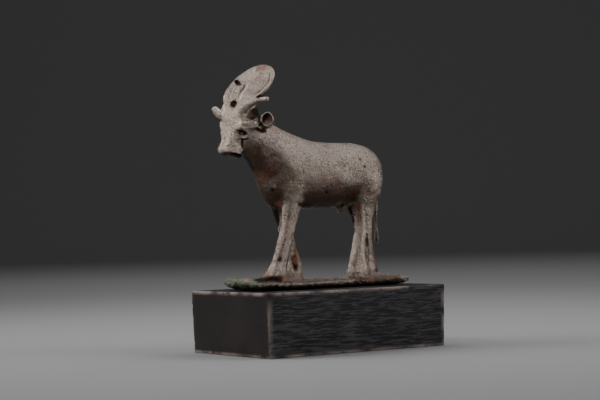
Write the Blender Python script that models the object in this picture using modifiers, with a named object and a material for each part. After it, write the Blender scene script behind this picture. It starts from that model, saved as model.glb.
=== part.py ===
"""An ancient bronze bull on its cast plate, standing on a black wooden block.

The bull faces -Y with its left side towards +X, and the block's underside lies on Z = 0.
The figure's own points are in figure units: a standing bull is TALL units high, so that its
pose and carving scale with FIGURE_HEIGHT. Its origin is on the plate's top, under the belly.
"""

import math

import bmesh
import bpy
from mathutils import Matrix, Vector

# Driving sizes, in metres.
BLOCK_LENGTH = 0.104
BLOCK_WIDTH = 0.067
BLOCK_HEIGHT = 0.030
BLOCK_TAPER = 0.0006
BLOCK_EDGE = 0.0006
REST_GAP = 0.0003
PLATE_LENGTH = 0.0915
PLATE_WIDTH = 0.0318
PLATE_SHIFT = 0.0002
PLATE_THICKNESS = 0.0034
PLATE_CORNER = 0.0016
PLATE_UNDERCUT = 0.0040
PLATE_LIFT = 0.0013
PLATE_RAGGED = 0.0004
PLATE_FRONT_RISE = 0.0025
PLATE_BACK_RISE = 0.0014
FIGURE_HEIGHT = 0.1045

# The casting is fused on this grid, softened, and thinned to this share of its faces.
FUSE_GRID = 0.00055
BODY_SMOOTHING = 14
LAST_SMOOTHING = 3
FACES_KEPT = 0.055
CARVING_WEIGHT = 0.5
CARVING_KEPT = 0.000012

# Sides of the broad sections, of the small ones, of the fine ones, of the disc and of the plate.
BROAD_SIDES = 32
SMALL_SIDES = 16
FINE_SIDES = 12
DISC_SIDES = 48
PLATE_SIDES = 120

TALL = 104.5
UNIT = FIGURE_HEIGHT / TALL
PLATE_FOOT = BLOCK_HEIGHT + REST_GAP
PLATE_TOP = PLATE_FOOT + PLATE_THICKNESS

# The plate's edge, in shares of its thickness: height and inset of its fullest section and of
# its top, and inset of its lip over the undercut.
PLATE_BELLY = (0.6, 0.0)
PLATE_SHOULDER = (1.0, 0.15)
PLATE_LIP = 0.1
# Where the plate's top begins to rise to its ends, in shares of its half length, how much of
# the rise its near edge keeps, and the insets of the loops that carry its top.
RISE_FROM = 0.42
NEAR_EDGE_RISE = 0.3
TOP_LOOPS = (0.12, 0.25, 0.38, 0.47)
# How the plate's edge is gnawed: waves round it, their phase and their weight.
GNAWING = ((3.0, 0.6, 1.0), (7.0, 2.1, 1.0), (12.0, 4.0, 0.7), (19.0, 1.2, 0.5))
# How far the plate's outline is pushed out before its corners are rounded, and how small the
# corners may get as it draws in.
CORNER_REACH = 1.6
LEAST_CORNER = 0.3

# Trunk: distance along the body, height of the back, height of the belly, half width.
TRUNK = (
    (-31.5, 52.0, 46.0, 3.0),
    (-30.2, 56.5, 42.4, 6.4),
    (-27.6, 61.5, 38.8, 9.2),
    (-24.0, 66.0, 36.0, 11.0),
    (-18.5, 69.6, 34.4, 12.2),
    (-12.0, 69.6, 34.4, 12.6),
    (-4.0, 67.6, 34.6, 12.5),
    (5.0, 66.8, 34.6, 12.4),
    (14.0, 66.8, 35.2, 12.2),
    (22.0, 66.7, 37.2, 11.9),
    (28.5, 65.3, 39.6, 11.2),
    (32.6, 63.0, 41.2, 9.9),
    (35.4, 60.2, 43.0, 8.0),
    (37.2, 57.0, 45.2, 5.6),
    (38.3, 53.6, 48.4, 3.0),
)

# Neck: station along and up, lean of the section, half depth, half width.
NECK = (
    (-14.0, 53.5, 66.0, 16.5, 11.6),
    (-22.5, 59.0, 52.0, 14.6, 11.0),
    (-29.5, 64.6, 47.0, 12.0, 9.3),
    (-35.2, 69.6, 50.0, 10.2, 8.3),
    (-40.0, 73.0, 60.0, 8.8, 7.6),
)

# Fold of skin down the throat and between the forelegs: along, up, half width, half depth.
DEWLAP = (
    (-39.5, 61.5, 2.0, 1.8),
    (-35.0, 55.5, 2.6, 2.2),
    (-32.2, 50.0, 3.4, 2.4),
    (-30.4, 44.0, 3.6, 2.2),
    (-27.2, 38.2, 3.2, 2.0),
    (-21.0, 35.4, 2.4, 1.8),
)

# Head, down the face from the poll: distance, depth centre, half depth, half width.
HEAD = (
    (-3.2, -3.0, 2.4, 4.0),
    (-1.2, -2.2, 5.4, 6.4),
    (2.2, -1.6, 6.4, 7.8),
    (5.6, -1.6, 6.5, 8.5),
    (8.6, -1.8, 6.4, 8.2),
    (11.6, -1.1, 5.9, 6.7),
    (14.4, -0.5, 5.2, 5.6),
    (16.6, 0.1, 4.8, 5.7),
    (19.2, 0.3, 5.0, 6.0),
    (20.1, -0.3, 4.5, 5.6),
    (20.8, -1.8, 3.2, 4.7),
)
HEAD_AT = (0.0, -43.3, 79.6)
HEAD_SLOPE = 19.5
HEAD_TURN = 5.5
HEAD_ROLL = 2.5
NECK_PIVOT = (0.0, -36.0, 74.0)

# Forms laid on the left of the face: across, out of the face, down it, half width, half depth.
EYE = ((6.9, 1.6, 6.6, 0.8, 0.8), (7.1, 2.2, 8.2, 1.4, 1.2), (6.5, 2.8, 9.6, 0.8, 0.8))
EYE_SOCKET = ((8.6, 2.2, 6.8, 0.7, 0.7), (8.9, 3.2, 8.4, 1.0, 1.0), (8.3, 3.8, 10.2, 0.6, 0.6))
BROW = (
    (8.6, -1.0, 4.6, 0.9, 0.9),
    (8.8, 2.0, 4.8, 1.2, 1.1),
    (8.0, 3.9, 5.8, 1.2, 1.0),
    (6.0, 4.5, 7.6, 0.8, 0.7),
)
NOSTRIL_PAD = ((3.4, 3.2, 15.4, 1.5, 1.4), (3.8, 3.2, 17.0, 1.6, 1.4))
NOSTRIL = ((4.2, 6.4, 16.2, 0.9, 0.6), (3.6, 4.0, 16.8, 0.6, 0.4))
# Lower jaw and chin, set back under the muzzle.
JAW = ((0.0, -6.0, 8.0, 6.2, 4.4), (0.0, -4.6, 14.0, 4.6, 3.6), (0.0, -2.4, 18.6, 3.6, 2.2))

# Legs, from inside the trunk down to the sole: height, across, along, half width, half length.
LEFT_FORE = (
    (54.0, 4.6, -18.6, 4.6, 5.6),
    (46.0, 6.4, -18.8, 5.8, 7.2),
    (40.0, 7.0, -19.2, 4.9, 5.6),
    (34.5, 7.3, -19.8, 4.0, 4.3),
    (29.5, 7.4, -21.0, 3.5, 3.7),
    (23.5, 7.4, -22.9, 3.4, 3.6),
    (18.0, 7.4, -24.7, 3.3, 3.6),
    (12.5, 7.4, -26.5, 3.3, 3.7),
    (8.5, 7.4, -27.8, 3.6, 4.2),
    (5.0, 7.5, -29.4, 4.2, 5.4),
    (2.2, 7.6, -30.8, 4.7, 6.9),
    (-1.5, 7.6, -31.4, 5.0, 7.6),
)
RIGHT_FORE = (
    (54.0, -4.6, -18.6, 4.6, 5.6),
    (46.0, -6.4, -18.8, 5.6, 7.2),
    (40.0, -6.8, -18.2, 4.8, 5.5),
    (34.5, -7.0, -16.9, 3.9, 4.2),
    (29.5, -7.0, -15.2, 3.4, 3.6),
    (24.5, -7.0, -13.7, 3.2, 3.4),
    (19.5, -7.0, -12.4, 3.1, 3.4),
    (14.5, -7.0, -11.0, 3.1, 3.4),
    (10.0, -7.0, -9.9, 3.3, 3.8),
    (6.5, -7.0, -9.9, 3.8, 4.8),
    (3.0, -7.0, -11.0, 4.3, 5.8),
    (-1.5, -7.0, -11.8, 4.7, 6.6),
)
LEFT_HIND = (
    (60.0, 3.4, 25.5, 4.6, 5.6),
    (54.0, 5.2, 26.2, 6.2, 7.8),
    (47.0, 6.2, 26.7, 6.4, 8.8),
    (40.5, 6.9, 26.0, 5.3, 7.2),
    (35.0, 7.2, 24.7, 4.3, 5.3),
    (29.5, 7.3, 23.8, 3.6, 4.0),
    (25.0, 7.3, 23.4, 3.5, 4.1),
    (21.0, 7.3, 22.4, 3.6, 4.6),
    (16.5, 7.3, 20.8, 3.5, 4.5),
    (11.0, 7.3, 19.7, 3.4, 4.3),
    (6.5, 7.3, 19.4, 3.9, 4.9),
    (3.0, 7.4, 18.8, 4.6, 6.6),
    (-1.5, 7.4, 18.4, 5.0, 7.6),
)
RIGHT_HIND = (
    (60.0, -3.4, 25.5, 4.6, 5.6),
    (54.0, -5.2, 26.6, 6.0, 7.6),
    (47.0, -6.2, 27.4, 6.2, 8.6),
    (40.5, -6.8, 28.4, 5.2, 6.8),
    (35.0, -7.0, 29.6, 4.2, 4.9),
    (29.5, -7.0, 31.0, 3.5, 3.9),
    (25.0, -7.0, 32.4, 3.3, 3.8),
    (20.5, -7.0, 34.0, 3.2, 4.0),
    (15.0, -7.0, 35.2, 3.1, 3.7),
    (10.0, -7.0, 36.0, 3.2, 3.8),
    (6.0, -7.0, 36.4, 3.7, 4.5),
    (3.0, -7.0, 36.0, 4.2, 5.4),
    (-1.5, -7.0, 35.6, 4.6, 6.0),
)

# Spurs behind the fetlocks and hocks: across, along, height, radius, reach back.
SPURS = (
    (-7.0, -6.6, 8.0, 1.3, 1.6),
    (7.4, -24.4, 9.0, 1.2, 1.4),
    (7.3, 25.6, 21.5, 1.4, 1.5),
    (-7.0, 37.0, 21.0, 1.4, 1.6),
)
SPUR_RISE = 1.2
SPUR_DROP = 0.4

# Sheath and scrotum: along, height, half width, half depth.
SHEATH = ((18.5, 38.0, 3.6, 3.2), (15.6, 35.2, 2.7, 2.5), (13.6, 32.8, 1.7, 1.6))
SCROTUM = ((23.0, 38.5, 3.4, 3.2), (22.4, 34.8, 3.2, 3.0), (22.2, 32.2, 2.4, 2.3))

# Tail: along, height, half width, half thickness.
TAIL = (
    (32.6, 62.6, 1.8, 1.3),
    (37.2, 57.2, 1.8, 1.3),
    (38.3, 51.0, 1.7, 1.3),
    (38.0, 45.0, 1.6, 1.2),
    (37.1, 39.0, 1.5, 1.1),
    (36.6, 33.0, 1.4, 1.0),
    (36.4, 27.0, 1.4, 1.0),
    (36.5, 22.6, 1.6, 1.2),
    (36.6, 19.4, 2.0, 1.6),
    (36.5, 16.4, 1.3, 1.1),
)

# Headdress, in the plane of the sun disc: across, up from its foot, out of its face, radius.
DISC_RADIUS = 15.7
DISC_THICKNESS = 2.5
DISC_RIM = 1.45
DISC_FOOT = (-1.0, -47.7, 80.2)
DISC_OFFSET = -0.8
DISC_LEAN = 41.0
# The disc's face is a little sunk inside its raised rim, its back is flat, and its lower half
# narrows towards its foot.
DISC_SINK = 0.8
DISC_WAIST = 0.14
DISC_FLAT = 3.0
DISC_BACK_EDGE = 0.8
DISC_HUB = 0.05
# Section of the disc's rim: distance in from its edge, share of the rim's height.
DISC_EDGE = ((1.8, 1.0), (0.7, 1.0), (0.0, 0.45), (0.0, -0.45))
LEFT_HORN = (
    (4.6, 1.2, -0.2, 2.2),
    (7.6, 3.8, 0.4, 2.0),
    (10.8, 6.0, 0.6, 1.7),
    (14.2, 7.6, 0.6, 1.45),
    (17.4, 8.2, 0.5, 1.35),
    (19.8, 8.5, 0.4, 1.35),
)
RIGHT_HORN = (
    (-4.4, -1.6, -2.0, 2.2),
    (-6.6, 1.4, 0.0, 1.9),
    (-9.2, 5.2, 0.7, 1.8),
    (-12.0, 9.8, 0.8, 1.6),
    (-13.4, 14.6, 0.7, 1.5),
    (-13.0, 18.6, 0.5, 1.2),
)

# The brow of the head runs up into the disc: up, out of its face, half width, half thickness.
STEM_SHIFT = 0.5
STEM = (
    (-5.0, -4.2, 5.6, 2.0),
    (-2.6, -2.2, 6.8, 2.4),
    (0.4, -0.9, 7.0, 2.2),
    (3.2, -0.4, 6.8, 1.8),
    (6.0, -0.3, 5.6, 1.3),
)

# The poll swells up behind the disc's foot and holds it: across, along, height, half width,
# half thickness.
POLL = (
    (0.4, -38.8, 76.0, 6.8, 5.0),
    (0.4, -39.2, 81.0, 6.2, 4.4),
    (0.4, -40.0, 85.0, 5.2, 3.2),
    (0.4, -41.0, 87.6, 4.0, 2.2),
)

# Cobra on the front of the disc: up, across, out, half width, half thickness.
COBRA = (
    (8.2, -3.4, 1.0, 1.0, 0.8),
    (10.6, -4.2, 1.3, 2.0, 1.0),
    (13.2, -4.9, 1.4, 2.7, 1.1),
    (16.0, -5.2, 1.4, 3.0, 1.1),
    (18.2, -4.9, 1.4, 2.4, 1.0),
    (19.6, -4.5, 1.3, 1.3, 0.8),
)

# Hollows beside the cobra: across, up, half length, half width, turn in the plane.
HOLLOWS = (
    (-2.5, 5.3, 3.2, 1.8, -30.0),
    (-10.6, 19.4, 3.9, 1.2, -30.0),
)
HOLLOW_DEPTH = 1.7
HOLLOW_TOE = 0.6
HOLLOW_FLOOR_SHARE = 0.7
HOLLOW_CLEAR = 5.0

# Ears, uneven as cast: across, along, height, half height, half thickness.
LEFT_EAR = (
    (6.5, -41.0, 76.4, 2.2, 2.2),
    (10.4, -40.2, 76.0, 2.2, 2.0),
    (13.2, -39.5, 76.0, 2.9, 1.8),
    (16.0, -38.8, 76.1, 3.6, 1.7),
    (18.4, -38.2, 76.2, 3.1, 1.5),
    (19.9, -37.9, 76.3, 1.9, 1.1),
)
RIGHT_EAR = (
    (-6.5, -44.0, 77.6, 2.6, 2.2),
    (-10.5, -44.6, 79.0, 2.5, 1.9),
    (-14.0, -45.0, 80.8, 2.6, 1.7),
    (-17.0, -45.2, 82.4, 2.5, 1.5),
    (-19.2, -45.3, 83.5, 1.8, 1.3),
    (-20.6, -45.3, 84.0, 1.0, 0.9),
)
# Thick roots that carry the ears back from the temples: across, along, height, radius.
EAR_ROOTS = (
    ((7.2, -45.6, 74.4, 1.9), (9.2, -42.6, 74.6, 2.2), (11.0, -40.4, 75.4, 2.1)),
    ((-7.4, -47.2, 75.4, 1.9), (-9.2, -45.4, 77.0, 2.1), (-10.6, -44.8, 78.6, 2.1)),
)
EAR_CUP_SHARE = 0.66
EAR_CUP_FORWARD = 1.3
# Where the finer carving begins, in figure units: behind this and below this the bull is plain.
CARVING_FROM = (-33.0, 60.0)


def clear_scene():
    for thing in list(bpy.data.objects):
        bpy.data.objects.remove(thing, do_unlink=True)


def collection(name):
    made = bpy.data.collections.new(name)
    bpy.context.scene.collection.children.link(made)
    return made


def material(name, colour, roughness, metallic):
    made = bpy.data.materials.new(name)
    made.use_nodes = True
    shader = made.node_tree.nodes["Principled BSDF"]
    shader.inputs["Base Color"].default_value = (*colour, 1.0)
    shader.inputs["Roughness"].default_value = roughness
    shader.inputs["Metallic"].default_value = metallic
    made.diffuse_color = (*colour, 1.0)
    return made


def add_ring(bm, place, half_width, half_height, squareness=2.0, count=BROAD_SIDES):
    """One closed section of a loft. Its plane is the X and Y of place."""
    made = bmesh.ops.create_circle(bm, cap_ends=False, segments=count, radius=1.0)
    for vert in made["verts"]:
        x, y = vert.co.x, vert.co.y
        swell = (abs(x) ** squareness + abs(y) ** squareness) ** (-1.0 / squareness)
        vert.co = place @ Vector((x * swell * half_width, y * swell * half_height, 0.0))
    return list({edge for vert in made["verts"] for edge in vert.link_edges})


def loft(rings, squareness=2.0, count=BROAD_SIDES):
    """A closed skin over sections, each a place with its half width and half height."""
    bm = bmesh.new()
    loops = [add_ring(bm, *ring, squareness, count) for ring in rings]
    for first, second in zip(loops, loops[1:]):
        bmesh.ops.bridge_loops(bm, edges=first + second)
    for loop in (loops[0], loops[-1]):
        bmesh.ops.contextual_create(bm, geom=loop)
    bmesh.ops.recalc_face_normals(bm, faces=bm.faces)
    return bm


def place_at(point, across, along):
    """A section plane at point whose X runs across and whose normal runs along."""
    normal = Vector(along).normalized()
    side = Vector(across)
    side = (side - side.project(normal)).normalized()
    rise = normal.cross(side)
    return Matrix.Translation(Vector(point)) @ Matrix((side, rise, normal)).transposed().to_4x4()


def path_rings(points, sizes, across=(1.0, 0.0, 0.0)):
    """Sections square to a path, each with its half width across and half thickness."""
    points = [Vector(point) for point in points]
    rings = []
    for index, (point, (wide, thick)) in enumerate(zip(points, sizes)):
        before = points[max(index - 1, 0)]
        after = points[min(index + 1, len(points) - 1)]
        rings.append((place_at(point, across, after - before), wide, thick))
    return rings


def rounded_ends(rings, steps=(0.55, 0.9)):
    """The same sections with a blunt dome of smaller ones past each end."""
    def dome(place, wide, thick, sign):
        reach = min(wide, thick)
        return [
            (
                place @ Matrix.Translation((0.0, 0.0, sign * reach * step)),
                wide * math.sqrt(1.0 - step * step),
                thick * math.sqrt(1.0 - step * step),
            )
            for step in steps
        ]

    return dome(*rings[0], -1.0)[::-1] + list(rings) + dome(*rings[-1], 1.0)


def trunk():
    rings = [
        (
            place_at((0.0, along, (back + belly) / 2), (1, 0, 0), (0, 1, 0)),
            wide,
            (back - belly) / 2,
        )
        for along, back, belly, wide in TRUNK
    ]
    return loft(rings, 2.25)


def neck():
    rings = []
    for along, up, lean, deep, wide in NECK:
        angle = math.radians(lean)
        normal = (0.0, -math.sin(angle), math.cos(angle))
        rings.append((place_at((0.0, along, up), (1, 0, 0), normal), wide, deep))
    return loft(rings, 2.1)


def leg(stations):
    rings = [
        (Matrix.Translation((across, along, up)), wide, deep)
        for up, across, along, wide, deep in stations
    ]
    return loft(rings, 2.3)


def spur(across, along, up, radius, reach):
    """The small spur behind a fetlock or a hock."""
    points = ((across, along, up + SPUR_RISE), (across, along + reach, up - SPUR_DROP))
    sizes = ((radius, radius * 1.3), (radius * 0.7, radius * 0.8))
    return loft(rounded_ends(path_rings(points, sizes)), count=FINE_SIDES)


def midline_tube(stations):
    """A round-ended form on the middle plane: the tail, dewlap, sheath and scrotum."""
    points = [(0.0, along, up) for along, up, wide, thick in stations]
    sizes = [(wide, thick) for along, up, wide, thick in stations]
    return loft(rounded_ends(path_rings(points, sizes)), count=SMALL_SIDES)


def head_frame():
    """The head's own axes: across, out of the face, and down the face."""
    slope = math.radians(HEAD_SLOPE)
    down = Vector((0.0, -math.sin(slope), -math.cos(slope)))
    out = Vector((0.0, -math.cos(slope), math.sin(slope)))
    axes = Matrix((Vector((1.0, 0.0, 0.0)), out, down)).transposed().to_4x4()
    return Matrix.Translation(HEAD_AT) @ axes


def head_pose():
    """The slight turn and roll of the whole head on the neck."""
    turn = Matrix.Rotation(math.radians(HEAD_TURN), 4, "Z")
    roll = Matrix.Rotation(math.radians(HEAD_ROLL), 4, "Y")
    pivot = Matrix.Translation(NECK_PIVOT)
    return pivot @ turn @ roll @ pivot.inverted()


def skull():
    frame = head_frame()
    rings = [
        (frame @ Matrix.Translation((0.0, out, down)), wide, deep)
        for down, out, deep, wide in HEAD
    ]
    return loft(rings, 3.4)


def face_path(stations, side):
    """Sections along a form of the face, from stations in the head's own axes."""
    frame = head_frame()
    path = [frame @ Vector((side * across, out, down)) for across, out, down, _, _ in stations]
    return path_rings(path, [(wide, deep) for _, _, _, wide, deep in stations])


def face_tube(stations, side=1.0):
    """A rounded ridge laid on the face."""
    return loft(rounded_ends(face_path(stations, side)), count=FINE_SIDES)


def ear_root(stations):
    path = [(across, along, up) for across, along, up, radius in stations]
    sizes = [(radius, radius) for across, along, up, radius in stations]
    rings = path_rings(path, sizes, (0.0, 0.0, 1.0))
    return loft(rounded_ends(rings), count=SMALL_SIDES)


def ear(stations):
    """A cupped leaf that stands out sideways."""
    path = [(across, along, up) for across, along, up, tall, thick in stations]
    sizes = [(tall, thick) for across, along, up, tall, thick in stations]
    rings = path_rings(path, sizes, (0.0, 0.0, 1.0))
    return loft(rounded_ends(rings), count=SMALL_SIDES)


def ear_cup(stations):
    """What is hollowed from the front of an ear, up to its raised rim."""
    path = []
    sizes = []
    for across, along, up, tall, thick in stations[2:]:
        path.append((across, along - EAR_CUP_FORWARD, up))
        sizes.append((tall * EAR_CUP_SHARE, thick * EAR_CUP_SHARE))
    return loft(path_rings(path, sizes, (0.0, 0.0, 1.0)), count=SMALL_SIDES)


def disc_frame():
    """The sun disc's own axes: across, up in its plane, and out of its face."""
    lean = math.radians(DISC_LEAN)
    up = Vector((0.0, math.sin(lean), math.cos(lean)))
    out = Vector((0.0, -math.cos(lean), math.sin(lean)))
    axes = Matrix((Vector((1.0, 0.0, 0.0)), up, out)).transposed().to_4x4()
    return Matrix.Translation(DISC_FOOT) @ axes


def disc():
    """A round plate, a little thinner in the middle, with a rounded rim."""
    frame = disc_frame() @ Matrix.Translation((DISC_OFFSET, DISC_RADIUS, 0.0))
    face = DISC_THICKNESS / 2 * DISC_SINK
    back = -DISC_THICKNESS / 2
    profile = [(DISC_HUB, face), (DISC_RADIUS - DISC_FLAT, face)]
    profile += [(DISC_RADIUS - inset, DISC_RIM * share) for inset, share in DISC_EDGE]
    profile += [(DISC_RADIUS - DISC_BACK_EDGE, back), (DISC_HUB, back)]
    rings = [(frame @ Matrix.Translation((0.0, 0.0, out)), wide, wide) for wide, out in profile]
    made = loft(rings, count=DISC_SIDES)
    inverse = disc_frame().inverted()
    for vert in made.verts:
        place = inverse @ vert.co
        waist = 1.0 - DISC_WAIST * max(0.0, 1.0 - place.y / DISC_RADIUS)
        place.x = DISC_OFFSET + (place.x - DISC_OFFSET) * waist
        vert.co = disc_frame() @ place
    return made


def poll():
    rings = [
        (Matrix.Translation((across, along, up)), wide, thick)
        for across, along, up, wide, thick in POLL
    ]
    return loft(rounded_ends(rings))


def in_disc(points):
    frame = disc_frame()
    return [frame @ Vector(point) for point in points]


def horn(stations):
    path = in_disc([(across, up, out) for across, up, out, radius in stations])
    sizes = [(radius, radius) for across, up, out, radius in stations]
    rings = path_rings(path, sizes, (0.0, 1.0, 0.3))
    return loft(rounded_ends(rings), count=SMALL_SIDES)


def stem():
    path = in_disc([(STEM_SHIFT, up, out) for up, out, wide, thick in STEM])
    sizes = [(wide, thick) for up, out, wide, thick in STEM]
    return loft(path_rings(path, sizes), 2.6)


def cobra():
    path = in_disc([(across, up, out) for up, across, out, wide, thick in COBRA])
    sizes = [(wide, thick) for up, across, out, wide, thick in COBRA]
    return loft(rounded_ends(path_rings(path, sizes)), count=SMALL_SIDES)


def hollow(across, up, half_long, half_wide, turn):
    """An oval plug that sinks into the front of the disc."""
    spin = Matrix.Rotation(math.radians(turn), 4, "Z")
    frame = disc_frame() @ Matrix.Translation((across, up, 0.0)) @ spin
    floor = DISC_THICKNESS / 2 - HOLLOW_DEPTH
    profile = (
        (floor, HOLLOW_FLOOR_SHARE),
        (floor + HOLLOW_TOE, 1.0),
        (floor + HOLLOW_CLEAR, 1.0),
    )
    rings = [
        (frame @ Matrix.Translation((0.0, 0.0, out)), half_long * swell, half_wide * swell)
        for out, swell in profile
    ]
    return loft(rings, count=SMALL_SIDES)


def nostril(side):
    return loft(face_path(NOSTRIL, side), count=FINE_SIDES)


def figure_object(name, meshes, folder, pose=None):
    """Several closed skins in figure units as one object in metres."""
    data = bpy.data.meshes.new(name)
    whole = bmesh.new()
    for skin in meshes:
        if pose is not None:
            skin.transform(pose)
        skin.to_mesh(data)
        whole.from_mesh(data)
        skin.free()
    to_world = Matrix.Translation((0.0, 0.0, PLATE_TOP)) @ Matrix.Scale(UNIT, 4)
    whole.transform(to_world)
    whole.to_mesh(data)
    whole.free()
    made = bpy.data.objects.new(name, data)
    folder.objects.link(made)
    return made


def cutter(name, skin, folder, pose=None):
    made = figure_object(name, [skin], folder, pose)
    made.hide_render = True
    made.display_type = "WIRE"
    return made


def ragged_oblong(step, total, inset):
    """A point of the plate's outline: an oblong with round corners and a gnawed edge."""
    angle = 2.0 * math.pi * step / total
    gnaw = sum(weight * math.sin(waves * angle + phase) for waves, phase, weight in GNAWING)
    weights = sum(weight for waves, phase, weight in GNAWING)
    wide = PLATE_WIDTH / 2 - inset
    long = PLATE_LENGTH / 2 - inset
    corner = max(PLATE_CORNER - inset, PLATE_CORNER * LEAST_CORNER)
    reach_x = max(-wide, min(wide, math.cos(angle) * wide * CORNER_REACH))
    reach_y = max(-long, min(long, math.sin(angle) * long * CORNER_REACH))
    core = Vector((
        max(-wide + corner, min(wide - corner, reach_x)),
        max(-long + corner, min(long - corner, reach_y)),
        0.0,
    ))
    outward = Vector((math.cos(angle) * long, math.sin(angle) * wide, 0.0)).normalized()
    return core + outward * (corner + gnaw / weights * PLATE_RAGGED)


def ground_rise(x, y):
    """How far the plate's uneven top stands above PLATE_TOP at a place on it."""
    half = PLATE_LENGTH / 2
    start = half * RISE_FROM
    share = min(1.0, max(0.0, (abs(y) - start) / (half - start)))
    swell = share * share * (3.0 - 2.0 * share)
    near = min(1.0, max(0.0, 2.0 * x / PLATE_WIDTH))
    height = PLATE_FRONT_RISE if y < 0.0 else PLATE_BACK_RISE
    return height * swell * (1.0 - near * (1.0 - NEAR_EDGE_RISE))


def plate(folder):
    """The thin ground under the hooves, cast in one with them, clear of the block at its edge."""
    bm = bmesh.new()
    levels = [(0.0, PLATE_UNDERCUT), (PLATE_LIFT, PLATE_THICKNESS * PLATE_LIP)]
    levels += [
        (PLATE_THICKNESS * rise, PLATE_THICKNESS * inset)
        for rise, inset in (PLATE_BELLY, PLATE_SHOULDER)
    ]
    levels += [(PLATE_THICKNESS, PLATE_WIDTH * share) for share in TOP_LOOPS]
    loops = []
    for height, inset in levels:
        made = bmesh.ops.create_circle(bm, cap_ends=False, segments=PLATE_SIDES, radius=1.0)
        lift = Vector((0.0, PLATE_SHIFT, PLATE_FOOT + height))
        for step, vert in enumerate(made["verts"]):
            vert.co = ragged_oblong(step, PLATE_SIDES, inset) + lift
            vert.co.z += ground_rise(vert.co.x, vert.co.y) * height / PLATE_THICKNESS
        loops.append(list({edge for vert in made["verts"] for edge in vert.link_edges}))
    for first, second in zip(loops, loops[1:]):
        bmesh.ops.bridge_loops(bm, edges=first + second)
    for loop in (loops[0], loops[-1]):
        bmesh.ops.contextual_create(bm, geom=loop)
    bmesh.ops.recalc_face_normals(bm, faces=bm.faces)
    data = bpy.data.meshes.new("plate")
    bm.to_mesh(data)
    bm.free()
    made = bpy.data.objects.new("plate", data)
    folder.objects.link(made)
    return made


def join_into(target, others):
    """Adds the other objects' meshes to the target's and removes them."""
    bm = bmesh.new()
    for thing in (target, *others):
        bm.from_mesh(thing.data)
    bm.to_mesh(target.data)
    bm.free()
    for thing in others:
        bpy.data.objects.remove(thing, do_unlink=True)


def settle(thing):
    """Makes an object's modifiers part of its mesh."""
    graph = bpy.context.evaluated_depsgraph_get()
    data = bpy.data.meshes.new_from_object(thing.evaluated_get(graph))
    thing.modifiers.clear()
    thing.data = data


def run_together(thing):
    remesh = thing.modifiers.new("run_together", "REMESH")
    remesh.mode = "VOXEL"
    remesh.voxel_size = FUSE_GRID


def soften(thing, passes):
    smooth = thing.modifiers.new("soften", "SMOOTH")
    smooth.factor = 0.5
    smooth.iterations = passes


def cut_hollows(thing, cutters):
    cut = thing.modifiers.new("hollows", "BOOLEAN")
    cut.operation = "DIFFERENCE"
    cut.operand_type = "COLLECTION"
    cut.collection = cutters
    cut.solver = "EXACT"


def thin_faces(thing):
    """Fewer faces, with more of them left where the head and headdress are carved."""
    carving = thing.vertex_groups.new(name="carving")
    along = CARVING_FROM[0] * UNIT
    height = PLATE_TOP + CARVING_FROM[1] * UNIT
    for vert in thing.data.vertices:
        carved = vert.co.y < along and vert.co.z > height
        carving.add([vert.index], CARVING_WEIGHT if carved else 1.0, "REPLACE")
    thin = thing.modifiers.new("thin_faces", "DECIMATE")
    thin.ratio = FACES_KEPT
    thin.vertex_group = "carving"
    thin.vertex_group_factor = CARVING_KEPT


def bull(folder, cutters):
    pose = head_pose()
    body = [
        trunk(),
        neck(),
        *(midline_tube(stations) for stations in (DEWLAP, TAIL, SHEATH, SCROTUM)),
        *(leg(stations) for stations in (LEFT_FORE, RIGHT_FORE, LEFT_HIND, RIGHT_HIND)),
        *(spur(*shape) for shape in SPURS),
    ]
    made = figure_object("apis_bull", body, folder)
    run_together(made)
    soften(made, BODY_SMOOTHING)
    settle(made)
    face = [skull(), face_tube(JAW)]
    for side in (1.0, -1.0):
        face += [face_tube(form, side) for form in (EYE, BROW, NOSTRIL_PAD)]
    crown = [disc(), poll(), stem(), cobra(), horn(LEFT_HORN), horn(RIGHT_HORN)]
    ears = [ear(LEFT_EAR), ear(RIGHT_EAR), *(ear_root(root) for root in EAR_ROOTS)]
    join_into(made, [
        figure_object("face_and_crown", face + crown, folder, pose),
        figure_object("ears", ears, folder),
        plate(folder),
    ])
    for number, shape in enumerate(HOLLOWS):
        cutter(f"hollow_{number}", hollow(*shape), cutters, pose)
    for side, word, stations in ((1.0, "left", LEFT_EAR), (-1.0, "right", RIGHT_EAR)):
        cutter(f"ear_cup_{word}", ear_cup(stations), cutters)
        cutter(f"nostril_{word}", nostril(side), cutters, pose)
        cutter(f"eye_socket_{word}", face_tube(EYE_SOCKET, side), cutters, pose)
    run_together(made)
    cut_hollows(made, cutters)
    run_together(made)
    soften(made, LAST_SMOOTHING)
    settle(made)
    thin_faces(made)
    made.data.materials.append(material("worn_bronze", (0.16, 0.125, 0.105), 0.55, 0.7))
    made.data.shade_smooth()
    return made


def block(folder):
    """The black wooden stand: an oblong block, a little narrower at its foot."""
    bm = bmesh.new()
    bmesh.ops.create_cube(bm, size=1.0)
    bmesh.ops.scale(bm, vec=(BLOCK_WIDTH, BLOCK_LENGTH, BLOCK_HEIGHT), verts=bm.verts)
    bmesh.ops.translate(bm, vec=(0.0, 0.0, BLOCK_HEIGHT / 2), verts=bm.verts)
    for vert in bm.verts:
        if vert.co.z < BLOCK_HEIGHT / 2:
            vert.co.x -= math.copysign(BLOCK_TAPER, vert.co.x)
            vert.co.y -= math.copysign(BLOCK_TAPER, vert.co.y)
    data = bpy.data.meshes.new("wooden_block")
    bm.to_mesh(data)
    bm.free()
    made = bpy.data.objects.new("wooden_block", data)
    folder.objects.link(made)
    edge = made.modifiers.new("worn_edges", "BEVEL")
    edge.width = BLOCK_EDGE
    edge.segments = 2
    made.data.materials.append(material("black_wood", (0.018, 0.016, 0.017), 0.5, 0.0))
    return made


def main():
    clear_scene()
    parts = collection("apis_bull_figure")
    cutters = collection("cutters")
    block(parts)
    bull(parts, cutters)


if __name__ == "__main__":
    main()
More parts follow.
